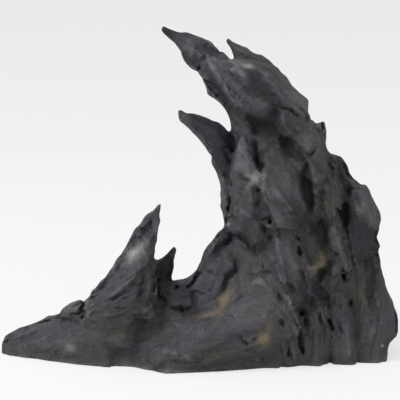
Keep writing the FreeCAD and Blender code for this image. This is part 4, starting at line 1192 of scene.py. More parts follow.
@dataclass
class Weathering:
    """Turns the blocked-out rock into a worn one. Every step changes the depth field in place.

    Lengths are in millimetres. A growth, loss or push is the most that a step gives.
    """

    rock: RockField
    sight: Sight
    streaks: Streaks = Streaks()
    coarse: Sheet = Sheet(1.2)
    fine: Sheet = Sheet(0.5)
    # Distances this near the end of the field's band aren't moved.
    held: float = 0.5
    softening: float = 1.1
    tip_loss: float = 0.5
    # How the sight lines are followed: how far from their aim, and in what steps.
    reach: float = 90.0
    stride: float = 0.8
    strides: tuple[float, float] = (0.5, 6.0)
    around_reach: int = 3
    # Where the stones run into each other: the blur, the rise, and its fade behind the seen skin.
    melting: float = 3.2
    melt_rise: float = 0.9
    melt_fade: Ramp = Ramp(3.0, 9.0)
    # The cave's lining: the blur that finds it, its growth, and the relief that it takes away.
    lining_spread: float = 2.2
    lining_edge: Ramp = Ramp(0.15, 0.45)
    lining_growth: float = 2.6
    lining_calm: float = 0.75
    # What no wall loses, and how walls are told from thick rock by the depth of their core.
    least_wall: float = 2.6
    wall_loss: float = 1.7
    wall_reach: float = 4.0
    thick_loss: float = 4.0
    thick_core: Ramp = Ramp(-9.5, -7.0)
    front_part: Ramp = Ramp(0.4, 0.6)
    # The drawn outline: its random shifts, how far the skin grows to it, and its rounded edge.
    outline_wander: tuple[Pattern, Pattern] = (Pattern(31, 4.0, 0.5), Pattern(32, 4.0, 0.5))
    growth_margin: float = 0.8
    first_growth: float = 8.5
    last_growth: float = 4.0
    rim: float = 1.2
    # Relief on the faces that the outline cuts, where they are hidden and the rock is thick.
    cut_relief: float = 0.8
    cut_band: float = 3.0
    cut_push: tuple[float, float] = (0.0, 3.0)
    cut_slabs: Pattern = Pattern(95, 13.0, 2.0)
    cut_level: float = 0.4
    cut_room: Ramp = Ramp(12.0, 30.0)
    cut_hidden: Ramp = Ramp(2.0, 7.0)
    # Marks: how they fade through the rock, and how they shift and vary.
    mark_fade: float = 0.35
    mark_room: float = 2.0
    shift_across: tuple[Pattern, Pattern] = (Pattern(33, 7.0, 1.5), Pattern(34, 2.4, 0.9))
    shift_up: tuple[Pattern, Pattern] = (Pattern(35, 7.0, 1.5), Pattern(36, 2.4, 0.9))
    unevenness: tuple[Pattern, Pattern] = (Pattern(37, 7.0, 0.35), Pattern(38, 2.6, 0.225))
    # Grooves between castings: their section, the lumps that break them up, and the front share.
    joint_width: float = 1.3
    joint_reach: float = 3.0
    joint_depth: float = 2.2
    joint_room: float = 1.0
    joint_breaks: Pattern = Pattern(11, 13.0)
    joint_share: Ramp = Ramp(0.35, 0.65)
    joint_hidden: Ramp = Ramp(4.0, 10.0)
    front_joints: float = 0.35
    # Relief: where it works, what thin tips are spared, then crumbs and pits.
    grain_reach: float = 6.0
    bulk_spread: float = 2.6
    thin_tips: Ramp = Ramp(-0.6, 1.8)
    thin_calm: float = 0.75
    crumbs: tuple[Pattern, Pattern] = (Pattern(90, 1.9), Pattern(91, 1.1, 0.6))
    crumb_level: float = 0.8
    crumb_height: float = 0.35
    pit_seams: Pattern = Pattern(92, 4.2)
    pit_width: Ramp = Ramp(0.0, 0.28)
    pit_places: Pattern = Pattern(93, 9.0)
    pit_share: Ramp = Ramp(0.6, 0.75)
    pit_depth: float = 0.25
    # Relief in smooth places, near the floor, at its strongest, and where the camera sees none.
    relief_hidden: Ramp = Ramp(5.0, 12.0)
    most_calm: float = 0.75
    floor_calm: float = 0.85
    floor_fade: Ramp = Ramp(0.0, 9.0)
    soft_push: float = 1.5
    soft_share: float = 0.3
    back_push: float = 0.5
    back_slabs: Pattern = Pattern(94, 17.0, 3.6)
    # The rock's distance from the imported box, and from its dowels.
    inset: float = 0.06
    bore_clearance: float = 0.3
    bore_room: int = 4
    # What the sight lines met, the marks on the fine sheet, and the lining at each sample.
    first: np.ndarray = field(init=False)
    around: np.ndarray = field(init=False)
    thick: np.ndarray = field(init=False)
    miss: np.ndarray = field(init=False)
    heights: np.ndarray = field(init=False)
    lining: np.ndarray = field(init=False)

    def soften(self) -> None:
        """Blur the field, which rounds its edges and hollow corners, but leaves thin tips long."""
        soft = blurred(self.rock.depth, self.softening / self.rock.grid.step)
        self.rock.depth = np.minimum(soft, self.rock.depth + self.tip_loss)

    def look(self) -> None:
        """Follow the sight lines of the coarse sheet through the rock.

        It keeps where each first meets the skin, how thick the rock is there, and, where a line misses
        the rock, how far it passes from it.
        """
        x, y = self.coarse.mesh()
        rays = self.sight.rays(x.ravel(), y.ravel())
        far = self.sight.distance + self.reach
        travel = np.full(len(rays), self.sight.distance - self.reach)
        first = np.full(len(rays), np.inf, np.float32)
        leave, miss = first.copy(), first.copy()
        going = np.arange(len(rays))
        while len(going):
            spots = self.sight.eye + travel[going, None] * rays[going]
            value = self.rock.grid.sample(self.rock.depth, spots)
            miss[going] = np.minimum(miss[going], value)
            entering = np.isinf(first[going]) & (value < 0)
            first[going[entering]] = (travel[going] + value)[entering]
            leaving = np.isfinite(first[going]) & (value > 0)
            leave[going[leaving]] = (travel[going] - value)[leaving]
            travel[going] += np.clip(self.stride * np.abs(value), *self.strides)
            going = going[~leaving & (travel[going] < far)]
        missed = np.isinf(first)
        start = np.where(missed, far, first)
        thick = np.where(np.isinf(leave), 2 * self.reach, leave) - start
        self.first = start.reshape(x.shape)
        self.thick = np.where(missed, self.rock.band, thick).reshape(x.shape)
        self.miss = miss.reshape(x.shape)
        self.around = -lowest(-self.first, self.around_reach)

    def behind(self, places: np.ndarray, picture: np.ndarray) -> np.ndarray:
        """How much further from the camera places are than the skin in front of them."""
        return np.linalg.norm(places - self.sight.eye, axis=1) - self.coarse.read(self.first, picture)

    def hidden(self, places: np.ndarray, picture: np.ndarray, fade: Ramp) -> np.ndarray:
        """Fade over how far places are behind the furthest skin seen near them."""
        travel = np.linalg.norm(places - self.sight.eye, axis=1)
        return fade.at(travel - self.coarse.read(self.around, picture))

    def melt(self) -> None:
        """Smooth the skin where the stones run into each other, and so fill the creases between them."""
        rock = self.rock
        smooth = blurred(rock.depth, self.melting / rock.grid.step)
        chosen = rock.near_surface(rock.band - 2 * self.held)
        places = rock.places(chosen)
        picture = self.sight.picture(places)
        share = covered(MELTED, picture, np.full(len(places), MIDDLE))
        share = np.clip(share, 0, 1) * (1 - self.melt_fade.at(self.behind(places, picture)))
        rock.depth[chosen] += share * (smooth[chosen] - self.melt_rise - rock.depth[chosen])

    def line_cave(self) -> None:
        """Let the cave's walls grow inwards, so no mark on the outside wears through them.

        The cave is the open space with rock in front, behind, above and at both sides of it.
        """
        rock = self.rock
        solid = rock.depth < 0
        cave = ~solid
        for axis in range(3):
            cave &= np.flip(np.logical_or.accumulate(np.flip(solid, axis), axis), axis)
            if axis < 2:
                cave &= np.logical_or.accumulate(solid, axis)
        near = blurred(cave.astype(np.float32), self.lining_spread / rock.grid.step)
        self.lining = self.lining_edge.at(near).astype(np.float32)
        rock.depth -= self.lining_growth * self.lining

    def keep_walls(self, before: np.ndarray) -> None:
        """Give back what was worn off beyond a set loss, so no wall is worn through.

        The loss is larger where the rock is thick, and where a mark was cut into a wall that has room.

        Args:
            before: The field before the cuts.
        """
        rock = self.rock
        core = lowest(before, int(self.wall_reach / rock.grid.step))
        loss = self.wall_loss + self.thick_loss * (1 - self.thick_core.at(core))
        chosen = np.abs(before) < rock.band - self.held
        places = rock.places(chosen)
        picture = self.sight.picture(places)
        thick = self.coarse.read(self.thick, picture)
        room = np.maximum(thick - self.least_wall - 2 * self.wall_loss, 0)
        cut = np.clip(-self.fine.read(self.heights, picture), 0, room)
        loss[chosen] += cut * (1 - self.front_part.at(self.behind(places, picture) / thick))
        rock.depth = np.minimum(rock.depth, before + loss)

    def fit_outline(self, growth_limit: float, relief: float = 0.0) -> None:
        """Bring the rock's outline, as the camera sees it, to the drawn one.

        Where a sight line inside the drawn outline misses the rock, the skin near it grows by the miss.
        What stands out of the drawn outline is cut off, with a rounded edge.

        Args:
            growth_limit: Most that the skin may grow.
            relief: Share of the relief that the cut faces get where the rock is hidden and thick.
        """
        rock = self.rock
        x, y = self.coarse.mesh()
        across, up = self.outline_wander
        x, y = self.wandered(x, x, y, across), self.wandered(y, x, y, up)
        edge = outline_distance(x, y, np.array(OUTLINE))
        grow = np.clip(self.miss + self.growth_margin, 0, growth_limit) * (edge < self.coarse.pitch)
        chosen = rock.depth < rock.band
        places = rock.places(chosen)
        picture = self.sight.picture(places)
        depth = rock.depth[chosen] - self.coarse.read(grow, picture)
        cut = self.coarse.read(edge, picture)
        if relief > 0:
            band = self.cut_band * relief
            near = (np.abs(cut) < 2 * self.rim + band) & (depth < band)
            push = np.clip(self.streaks.at(places[near]), *self.cut_push)
            push = push + self.cut_slabs.chips(places[near]) - self.cut_level
            room = self.cut_room.at(self.coarse.read(self.thick, picture[near]))
            room *= self.hidden(places[near], picture[near], self.cut_hidden)
            cut[near] += relief * push * room * self.floor_fade.at(places[near][:, 2])
        rock.depth[chosen] = smooth_greater(depth, cut, self.rim)

    def wandered(self, start: object, x: np.ndarray, y: np.ndarray, *patterns: Pattern) -> np.ndarray:
        """Values with random shifts added, one for each pattern, up to its strength either way.

        Args:
            start: The values before the shifts, or one value.
            x: Across at each place of a sheet.
            y: Up at each place.
            patterns: Seeds, sizes and strengths of the shifts.

        Returns:
            The shifted values.
        """
        layer = np.full(x.size, SHEET_LAYER)
        places = np.stack([x.ravel(), y.ravel(), layer], axis=1)
        for pattern in patterns:
            lumps = Grain(pattern.seed).at(places / pattern.size).reshape(x.shape)
            start = start + pattern.strength * (2 * lumps - 1)
        return start

    def carve(self) -> None:
        """Draw every mark on the fine sheet and move the front skin by the sheet's heights.

        The heights fade out behind the skin, and no cut leaves the rock thinner than a least wall.
        """
        rock = self.rock
        x, y = self.fine.mesh()
        warped_x = self.wandered(x, x, y, *self.shift_across)
        warped_y = self.wandered(y, x, y, *self.shift_up)
        uneven = np.clip(self.wandered(MIDDLE, x, y, *self.unevenness), 0, 1)
        self.heights = np.zeros(x.shape)
        for mark in MARKS:
            corners = np.array(mark.corners, float)
            low, high = corners.min(0) - mark.margin, corners.max(0) + mark.margin
            near = (warped_x > low[0]) & (warped_x < high[0]) & (warped_y > low[1]) & (warped_y < high[1])
            self.heights[near] += mark.lift(corners, warped_x[near], warped_y[near], uneven[near])
        chosen = rock.near_surface(rock.band - self.held)
        places = rock.places(chosen)
        picture = self.sight.picture(places)
        thick = self.coarse.read(self.thick, picture)
        front = self.mark_fade * thick
        fade = 1 - smooth_step(0, 1, (self.behind(places, picture) - front) / (front + self.mark_room))
        lift = np.maximum(self.fine.read(self.heights, picture), -np.maximum(thick - self.least_wall, 0))
        rock.depth[chosen] -= lift * fade

    def open_joints(self) -> None:
        """Cut a groove where two castings meet, deep in some places and gone in others."""
        rock = self.rock
        chosen = rock.near_surface(self.joint_depth + self.joint_room)
        chosen &= rock.joint < self.joint_reach * self.joint_width
        places = rock.places(chosen)
        bell = np.exp(-(rock.joint[chosen] / self.joint_width) ** 2)
        broken = self.joint_share.at(self.joint_breaks.lumps(places))
        hidden = self.hidden(places, self.sight.picture(places), self.joint_hidden)
        hidden = self.front_joints + (1 - self.front_joints) * hidden
        rock.depth[chosen] += self.joint_depth * bell * broken * hidden

    def roughen(self) -> None:
        """Push the skin in and out by several sizes of grain, stretched along the flow of the rock.

        Thin tips, where the field stays near 0 when it is blurred, are pushed less.
        """
        rock = self.rock
        chosen = rock.near_surface(self.grain_reach)
        places = rock.places(chosen)
        picture = self.sight.picture(places)
        bulk = blurred(rock.depth, self.bulk_spread / rock.grid.step)[chosen]
        thin = self.thin_tips.at(bulk)
        hidden = self.hidden(places, picture, self.relief_hidden)
        large, little = self.crumbs
        small = large.lumps(places) + little.lumps(places) - self.crumb_level
        _, seam = Chips(self.pit_seams.seed).at(places / self.pit_seams.size)
        pit = (1 - self.pit_width.at(seam)) * self.pit_share.at(self.pit_places.lumps(places))
        calm = covered(SMOOTHED, picture, np.full(len(places), MIDDLE))
        calm = np.clip(calm, 0, self.most_calm) * (1 - hidden)
        calm = np.maximum(calm, self.floor_calm * (1 - self.floor_fade.at(places[:, 2])))
        push = self.streaks.at(places)
        push = np.minimum(push, self.soft_push + self.soft_share * (push - self.soft_push))
        push += hidden * (self.back_push * push + self.back_slabs.chips(places))
        push *= 1 - self.lining_calm * self.lining[chosen]
        push = push + self.crumb_height * small + self.pit_depth * pit
        rock.depth[chosen] += push * (1 - self.thin_calm * thin) * (1 - calm)

    def trim(self) -> None:
        """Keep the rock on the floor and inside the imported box."""
        rock = self.rock
        low, high = (np.array(corner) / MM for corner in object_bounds())
        for axis, values in enumerate(rock.grid.mesh(rock.grid.whole)):
            rock.depth = np.maximum(rock.depth, low[axis] + self.inset - values)
            rock.depth = np.maximum(rock.depth, values - high[axis] + self.inset)

    def bore(self, node: str) -> None:
        """Leave a blind hole round a dowel."""
        corners, triangles = node_surface(node)
        room = self.bore_room * self.rock.grid.step
        window = self.rock.grid.window(corners.min(0) - room, corners.max(0) + room)
        distance = self.rock.distance_to(corners, triangles, window)
        self.rock.depth[window] = np.maximum(self.rock.depth[window], self.bore_clearance - distance)


# ---- Finishes ----
def srgb(red: int, green: int, blue: int) -> tuple[float, float, float, float]:
    """Linear colour of an eight-bit screen colour: each channel over 255, raised as screens do."""
    shares = [c / 255 for c in (red, green, blue)]
    linear = [c / 12.92 if c <= 0.04045 else ((c + 0.055) / 1.055) ** 2.4 for c in shares]
    return (*linear, 1.0)


class Stored(Enum):
    """What is stored at the castings' corners, by the names that the materials read."""

    TONE = "tone"
    HUE = "hue"
    EDGE = "edge"
    CREVICE_SHADE = "crevice"
    STAIN = "stain"
    GLINTS_AND_CHALK = "chalk"
    FLOW = "flow"


@dataclass(frozen=True)
class Mottle:
    """Noise in a material.

    Attributes:
        scale: Lumps in a metre.
        detail: Number of finer sizes in it.
        low: Value of the noise where the mottle starts.
        high: Value where it is whole.
        length: How many times longer than wide its streaks are; 1 is plain noise.
        through: How closely streaks are packed through the grain.
        roughness: Strength of the finer sizes.
        distortion: How far the noise bends itself.
    """

    scale: float
    detail: float
    low: float = 0.0
    high: float = 1.0
    length: float = 1.0
    through: float = 0.8
    roughness: float = 0.6
    distortion: float = 0.0


class Nodes:
    """Small helper that lays out a material's nodes."""

    def __init__(self, name: str) -> None:
        self.material = bpy.data.materials.new(name)
        self.material.use_nodes = True
        self.tree = self.material.node_tree
        self.shader = self.tree.nodes["Principled BSDF"]

    def add(self, kind: str, **settings: object) -> bpy.types.Node:
        """New node. Settings that are its own attributes are set, and the rest are socket values."""
        node = self.tree.nodes.new(kind)
        for name, value in settings.items():
            if hasattr(node, name):
                setattr(node, name, value)
            else:
                node.inputs[name.replace("_", " ")].default_value = value
        return node

    def join(self, source: bpy.types.NodeSocket, target: bpy.types.NodeSocket) -> None:
        """Link two sockets."""
        self.tree.links.new(source, target)

    def noise(self, mottle: Mottle) -> bpy.types.NodeSocket:
        """Noise over the object's own coordinates or, if it is drawn out, along the rock's grain."""
        texture = self.add("ShaderNodeTexNoise", Scale=mottle.scale, Detail=mottle.detail)
        texture.inputs["Roughness"].default_value = mottle.roughness
        texture.inputs["Distortion"].default_value = mottle.distortion
        if mottle.length > 1:
            mapping = self.add("ShaderNodeMapping")
            mapping.inputs["Scale"].default_value = (1 / mottle.length, 1.0, mottle.through)
            flow = self.add("ShaderNodeAttribute", attribute_name=Stored.FLOW.value)
            self.join(flow.outputs["Vector"], mapping.inputs["Vector"])
            self.join(mapping.outputs["Vector"], texture.inputs["Vector"])
        else:
            own = self.add("ShaderNodeTexCoord")
            self.join(own.outputs["Object"], texture.inputs["Vector"])
        return texture.outputs["Fac"]

    def mottled(self, mottle: Mottle, to: tuple = (0.0, 1.0)) -> bpy.types.NodeSocket:
        """Noise between the mottle's two values, spread onto another range and held at its ends."""
        return self.range(self.noise(mottle), mottle.low, mottle.high, to)

    def stored(self, stored: Stored) -> bpy.types.NodeSocket:
        """Value stored at the mesh's corners."""
        return self.add("ShaderNodeAttribute", attribute_name=stored.value).outputs["Fac"]

    def range(
        self, value: bpy.types.NodeSocket, low: float, high: float, to: tuple[float, float]
    ) -> bpy.types.NodeSocket:
        """Value spread from low..high onto another range, held at its ends."""
        node = self.add("ShaderNodeMapRange")
        for socket, number in zip(("From Min", "From Max", "To Min", "To Max"), (low, high, *to)):
            node.inputs[socket].default_value = number
        self.join(value, node.inputs["Value"])
        return node.outputs["Result"]

    def times(self, one: bpy.types.NodeSocket, two: bpy.types.NodeSocket) -> bpy.types.NodeSocket:
        """Product of two values."""
        node = self.add("ShaderNodeMath", operation="MULTIPLY")
        self.join(one, node.inputs[0])
        self.join(two, node.inputs[1])
        return node.outputs[0]

    def blend(self, share: bpy.types.NodeSocket, under: object, over: object) -> bpy.types.NodeSocket:
        """Colour between two, each a colour or a socket."""
        node = self.add("ShaderNodeMix", data_type="RGBA")
        self.join(share, node.inputs["Factor"])
        for socket, colour in ((node.inputs[6], under), (node.inputs[7], over)):
            if isinstance(colour, bpy.types.NodeSocket):
                self.join(colour, socket)
            else:
                socket.default_value = colour
        return node.outputs[2]


@dataclass(frozen=True)
class StonePaintAndShading:
    """Matte cast resin: dark paint in the hollows with painted shade, lighter grey dry-brush paint over
    what stands out, and painted light and shade in paler and darker places.
    """

    violet: tuple = srgb(69, 66, 76)
    olive: tuple = srgb(63, 64, 58)
    shade: tuple = srgb(46, 45, 49)
    # Dark paint colours, which also paint the shade in cracks, hollows and darker places.
    cool_shade_wash: tuple = srgb(36, 32, 41)
    warm_shade_wash: tuple = srgb(31, 31, 28)
    # Grey of the dry-brush paint on edges, which also paints the highlights of the paler places.
    brushed_and_highlight: tuple = srgb(108, 107, 110)
    stain: tuple = srgb(128, 117, 90)
    # Whitish paint, which also paints highlights and glints.
    chalk: tuple = srgb(178, 177, 174)
    # Surface: roughness and bumps; bump_height is in metres.
    roughness: float = 0.82
    roughness_spread: float = 0.08
    gloss: float = 0.35
    bump: float = 0.5
    bump_height: float = 0.0008
    # Mottles, each with the share that it lays on.
    patches: Mottle = Mottle(62.0, 4.0, 0.42, 0.6)
    patch_hues: tuple[float, float] = (0.2, -0.2)
    grain: Mottle = Mottle(430.0, 6.0, 0.34, 0.66)
    blotch: Mottle = Mottle(150.0, 6.0, 0.4, 0.68)
    blotch_share: float = 0.45
    streak: Mottle = Mottle(330.0, 6.0, 0.44, 0.66, 5.0, roughness=0.62, distortion=0.4)
    streak_share: float = 0.75
    fleck: Mottle = Mottle(700.0, 4.0, 0.5, 0.7)
    fleck_share: float = 0.3
    speck: Mottle = Mottle(620.0, 3.0, 0.56, 0.7)
    speck_share: float = 0.4
    # Least and most of each paint over the grain.
    stain_grain: tuple[float, float] = (0.6, 1.0)
    brush_grain: tuple[float, float] = (0.35, 1.0)
    pale_grain: tuple[float, float] = (0.7, 1.0)
    glint_and_chalk_grain: tuple[float, float] = (0.7, 1.0)
    # What the paler tone, partly painted light, and the darker tone, partly painted shade, lay on.
    pale_share: float = 0.8
    dark_share: float = 0.94
    dark_tone: float = 0.1
    small_bumps: Mottle = Mottle(700.0, 8.0)
    long_bumps: Mottle = Mottle(420.0, 6.0, length=4.0, roughness=0.62, distortion=0.4)

    def material(self) -> bpy.types.Material:
        """Violet and olive greys in patches, darkened in streaks and specks, then the hand's paint.

        The paints go on in this order: stain, dry-brush paint on edges, overall tone with its painted
        light and shade, dark paint in specks and, with painted shade, in cracks and hollows, then whitish
        paint with painted highlights and glints.
        """
        nodes = Nodes("cast_stone")
        hue = nodes.add("ShaderNodeMath", operation="ADD", use_clamp=True)
        nodes.join(nodes.mottled(self.patches, self.patch_hues), hue.inputs[0])
        nodes.join(nodes.stored(Stored.HUE), hue.inputs[1])
        colour = nodes.blend(hue.outputs[0], self.olive, self.violet)
        # Dark colour for painted shade and for dark paint, cooler where the hue leans violet.
        shade_wash = nodes.blend(hue.outputs[0], self.warm_shade_wash, self.cool_shade_wash)
        grain = nodes.mottled(self.grain)
        tone = nodes.stored(Stored.TONE)
        colour = nodes.blend(nodes.mottled(self.blotch, (0.0, self.blotch_share)), colour, self.shade)
        colour = nodes.blend(nodes.mottled(self.streak, (0.0, self.streak_share)), colour, self.shade)
        colour = nodes.blend(nodes.mottled(self.fleck, (0.0, self.fleck_share)), colour, self.brushed_and_highlight)
        stain = nodes.times(nodes.stored(Stored.STAIN), nodes.range(grain, 0.0, 1.0, self.stain_grain))
        colour = nodes.blend(stain, colour, self.stain)
        brush = nodes.times(nodes.stored(Stored.EDGE), nodes.range(grain, 0.0, 0.8, self.brush_grain))
        colour = nodes.blend(brush, colour, self.brushed_and_highlight)
        # Paler tone: painted light where the lamp falls, partly paler paint.
        pale = nodes.range(tone, MIDDLE, 1.0, (0.0, self.pale_share))
        pale = nodes.times(pale, nodes.range(grain, 0.0, 1.0, self.pale_grain))
        colour = nodes.blend(pale, colour, self.brushed_and_highlight)
        # Darker tone: painted shade, partly darker paint.
        dark = nodes.range(tone, self.dark_tone, MIDDLE, (self.dark_share, 0.0))
        colour = nodes.blend(dark, colour, shade_wash)
        colour = nodes.blend(nodes.mottled(self.speck, (0.0, self.speck_share)), colour, shade_wash)
        # Cracks and hollows darkened: dark paint there, and painted shade.
        colour = nodes.blend(nodes.stored(Stored.CREVICE_SHADE), colour, shade_wash)
        # Whitish marks: painted highlights and glints, partly chalky paint.
        chalk = nodes.times(nodes.stored(Stored.GLINTS_AND_CHALK), nodes.range(grain, 0.0, 0.7, self.glint_and_chalk_grain))
        colour = nodes.blend(chalk, colour, self.chalk)
        nodes.join(colour, nodes.shader.inputs["Base Color"])
        smoothest = self.roughness - self.roughness_spread
        roughest = self.roughness + self.roughness_spread
        nodes.join(nodes.range(grain, 0.0, 1.0, (smoothest, roughest)), nodes.shader.inputs["Roughness"])
        nodes.shader.inputs["Specular IOR Level"].default_value = self.gloss
        height = nodes.add("ShaderNodeMath", operation="ADD")
        nodes.join(nodes.noise(self.small_bumps), height.inputs[0])
        nodes.join(nodes.noise(self.long_bumps), height.inputs[1])
        bump = nodes.add("ShaderNodeBump", Strength=self.bump, Distance=self.bump_height)
        nodes.join(height.outputs[0], bump.inputs["Height"])
        nodes.join(bump.outputs["Normal"], nodes.shader.inputs["Normal"])
        return nodes.material


@dataclass(frozen=True)
class DowelFinish:
    """Plain unpainted cast resin, beige and slightly mottled."""

    body: tuple = srgb(150, 143, 128)
    shade: tuple = srgb(128, 120, 104)
    mottle: Mottle = Mottle(240.0, 4.0)
    grain: Mottle = Mottle(500.0, 3.0)
    roughness: tuple[float, float] = (0.5, 0.7)

    def material(self) -> bpy.types.Material:
        """Two beiges mottled together."""
        nodes = Nodes("dowel_resin_finish")
        colour = nodes.blend(nodes.noise(self.mottle), self.shade, self.body)
        nodes.join(colour, nodes.shader.inputs["Base Color"])
        nodes.join(nodes.mottled(self.grain, self.roughness), nodes.shader.inputs["Roughness"])
        return nodes.material


# ---- The rock ----
@dataclass(frozen=True)
class Paints:
    """Where each paint lies on the skin, together with the painted shade in its hollows and the painted
    light and shade of the picture's patches.
    """

    # Blurs that tell sharp edges and cracks, and broad edges and hollows.
    near_spread: float = 1.8
    far_spread: float = 5.0
    # Brushed paint on edges, which is rubbed off in places, and dark paint in cracks and hollows, which
    # also stands for the shade that falls in them.
    rubbed: Pattern = Pattern(22, 6.0)
    rubbed_share: Ramp = Ramp(0.3, 0.7)
    tips: Ramp = Ramp(1.1, 1.9)
    sharp_edges: Ramp = Ramp(0.15, 0.9, 0.5)
    broad_edges: Ramp = Ramp(0.6, 2.4, 0.3)
    cracks: Ramp = Ramp(0.15, 1.2, 0.5)
    hollows: Ramp = Ramp(0.3, 2.6, 0.4)
    # The picture's patches: their ragged edges, and where they stop at the sides and the back.
    ragged: Pattern = Pattern(21, 2.2)
    facing: Ramp = Ramp(-0.25, 0.1)
    hidden: Ramp = Ramp(3.0, 8.0)
    # Paint on the sides and the back.
    back_edges: float = 1.6
    back_gain: float = 0.6
    back_tones: Pattern = Pattern(23, 15.0, 1.0, 0.52)
    back_hues: Pattern = Pattern(24, 19.0, 2.0, 0.5)
    # Painted shade in a deep mark's cut, laid on as dark paint of its own.
    cuts: Ramp = Ramp(0.8, 4.0)
    cut_shade_wash: float = 0.35

    def shares(
        self, wear: Weathering, places: np.ndarray, slope: np.ndarray
    ) -> dict[Stored, np.ndarray]:
        """Share of each paint, painted light and shade included, at the skin's corners, from how far it
        stands out of its surroundings and from the picture's patches.

        Args:
            wear: The worn rock.
            places: The corners.
            slope: Slope of the field at the corners.

        Returns:
            What is stored at the corners.
        """
        grid, depth = wear.rock.grid, wear.rock.depth
        fine = grid.sample(blurred(depth, self.near_spread / grid.step), places)
        broad = grid.sample(blurred(depth, self.far_spread / grid.step), places)
        worn = self.rubbed_share.at(self.rubbed.lumps(places)) * (1 - self.tips.at(fine))
        edge = (self.sharp_edges.at(fine) + self.broad_edges.at(broad)) * worn
        # Cracks and hollows: dark paint, and painted shade where the skin lies deeper than its
        # surroundings.
        crevice = self.cracks.at(-fine) + self.hollows.at(-broad)
        picture = wear.sight.picture(places)
        ragged = self.ragged.lumps(places)
        front = self.facing.at(slope @ wear.sight.back)
        front *= 1 - wear.hidden(places, picture, self.hidden)
        edge *= self.back_edges - self.back_gain * front
        # Tone on the front: the picture's patches and washes, partly paler and darker paint, partly
        # painted light where the lamp falls and painted shade where it doesn't; random tone on the back.
        tone = MIDDLE + MIDDLE * covered((*TONES_AND_SHADING, *SHADE_AND_LIGHT_WASHES), picture, ragged) * front
        tone += (1 - front) * self.back_tones.lumps(places)
        hue = MIDDLE + MIDDLE * covered(HUES, picture, ragged) * front
        hue += (1 - front) * self.back_hues.lumps(places)
        cut = self.cuts.at(-wear.fine.read(wear.heights, picture)) * front
        paints = {
            Stored.TONE: tone,
            Stored.HUE: hue,
            Stored.EDGE: edge,
            Stored.CREVICE_SHADE: crevice + self.cut_shade_wash * cut,
            Stored.STAIN: covered(STAINS, picture, ragged) * front,
            Stored.GLINTS_AND_CHALK: covered(GLINTS_AND_CHALK, picture, ragged) * front,
        }
        shares = {stored: np.clip(values, 0, 1) for stored, values in paints.items()}
        shares[Stored.FLOW] = wear.streaks.flow.at(places) * MM
        return shares


@dataclass
class CaveRock:
    """The castings of the rock: their shared field, their meshes and their finish."""

    sight: Sight
    paints: Paints = Paints()
    step: float = 0.8
    quick_step: float = 1.3
    margin: float = 4.0

    def nodes_in(self, slot: str) -> list[str]:
        """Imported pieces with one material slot."""
        return [part["node"] for part in frame["record"]["subparts"] if part["material_slot"] == slot]

    def build(self) -> list[bpy.types.Object]:
        """Make, wear and cut the rock, and dress its castings."""
        low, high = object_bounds()
        step = self.step
        grid = Grid.round_box(low, high, step, self.margin)
        log.info("grid of %s samples", grid.counts)
        rock = RockField(grid, self.nodes_in(ROCK_SLOT))
        log.info("field joined")
        wear = Weathering(rock, self.sight)
        wear.soften()
        wear.look()
        wear.fit_outline(wear.first_growth)
        wear.look()
        wear.melt()
        wear.line_cave()
        wear.look()
        before = rock.depth.copy()
        wear.carve()
        wear.open_joints()
        wear.roughen()
        wear.keep_walls(before)
        wear.look()
        wear.fit_outline(wear.last_growth, wear.cut_relief)
        wear.trim()
        for node in self.nodes_in(DOWEL_SLOT):
            wear.bore(node)
        log.info("field worn")
        return self.castings(wear, Cutter(rock))

    def castings(self, wear: Weathering, cutter: Cutter) -> list[bpy.types.Object]:
        """One object for each casting.

        Args:
            wear: The worn rock.
            cutter: The rock's skin and joints, cut apart.

        Returns:
            The objects.
        """
        rock = wear.rock
        slope = rock.grid.gradient(rock.depth, cutter.places)
        normals = slope / np.maximum(np.linalg.norm(slope, axis=1, keepdims=True), LEAST_SLOPE)
        shares = self.paints.shares(wear, cutter.places, slope)
        material = StonePaintAndShading().material()
        pieces = []
        for number, node in enumerate(rock.nodes):
            used, quads = cutter.casting(number)
            mesh = mesh_from(f"{node}_rock", cutter.places[used], quads)
            for stored, values in shares.items():
                kind, key = ("FLOAT", "value") if values.ndim == 1 else ("FLOAT_VECTOR", "vector")
                layer = mesh.attributes.new(stored.value, kind, "POINT")
                layer.data.foreach_set(key, values[used].astype(np.float32).ravel())
            mesh.normals_split_custom_set_from_vertices(normals[used])
            mesh.materials.append(material)
            piece = bpy.data.objects.new(f"{node}_rock", mesh)
            bpy.context.scene.collection.objects.link(piece)
            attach(piece, "root")
            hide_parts(node)
            log.info("%s: %d faces", piece.name, len(quads))
            pieces.append(piece)
        return pieces


@dataclass
class Dowels:
    """The pins inside the rock, which stay as they are packed."""

    def dress(self) -> None:
        """Give each packed dowel its finish."""
        material = DowelFinish().material()
        for part in frame["record"]["subparts"]:
            if part["material_slot"] == DOWEL_SLOT:
                node = frame["nodes"][part["node"]]
                node.data.materials.clear()
                node.data.materials.append(material)
                log.info("%s dressed", node.name)


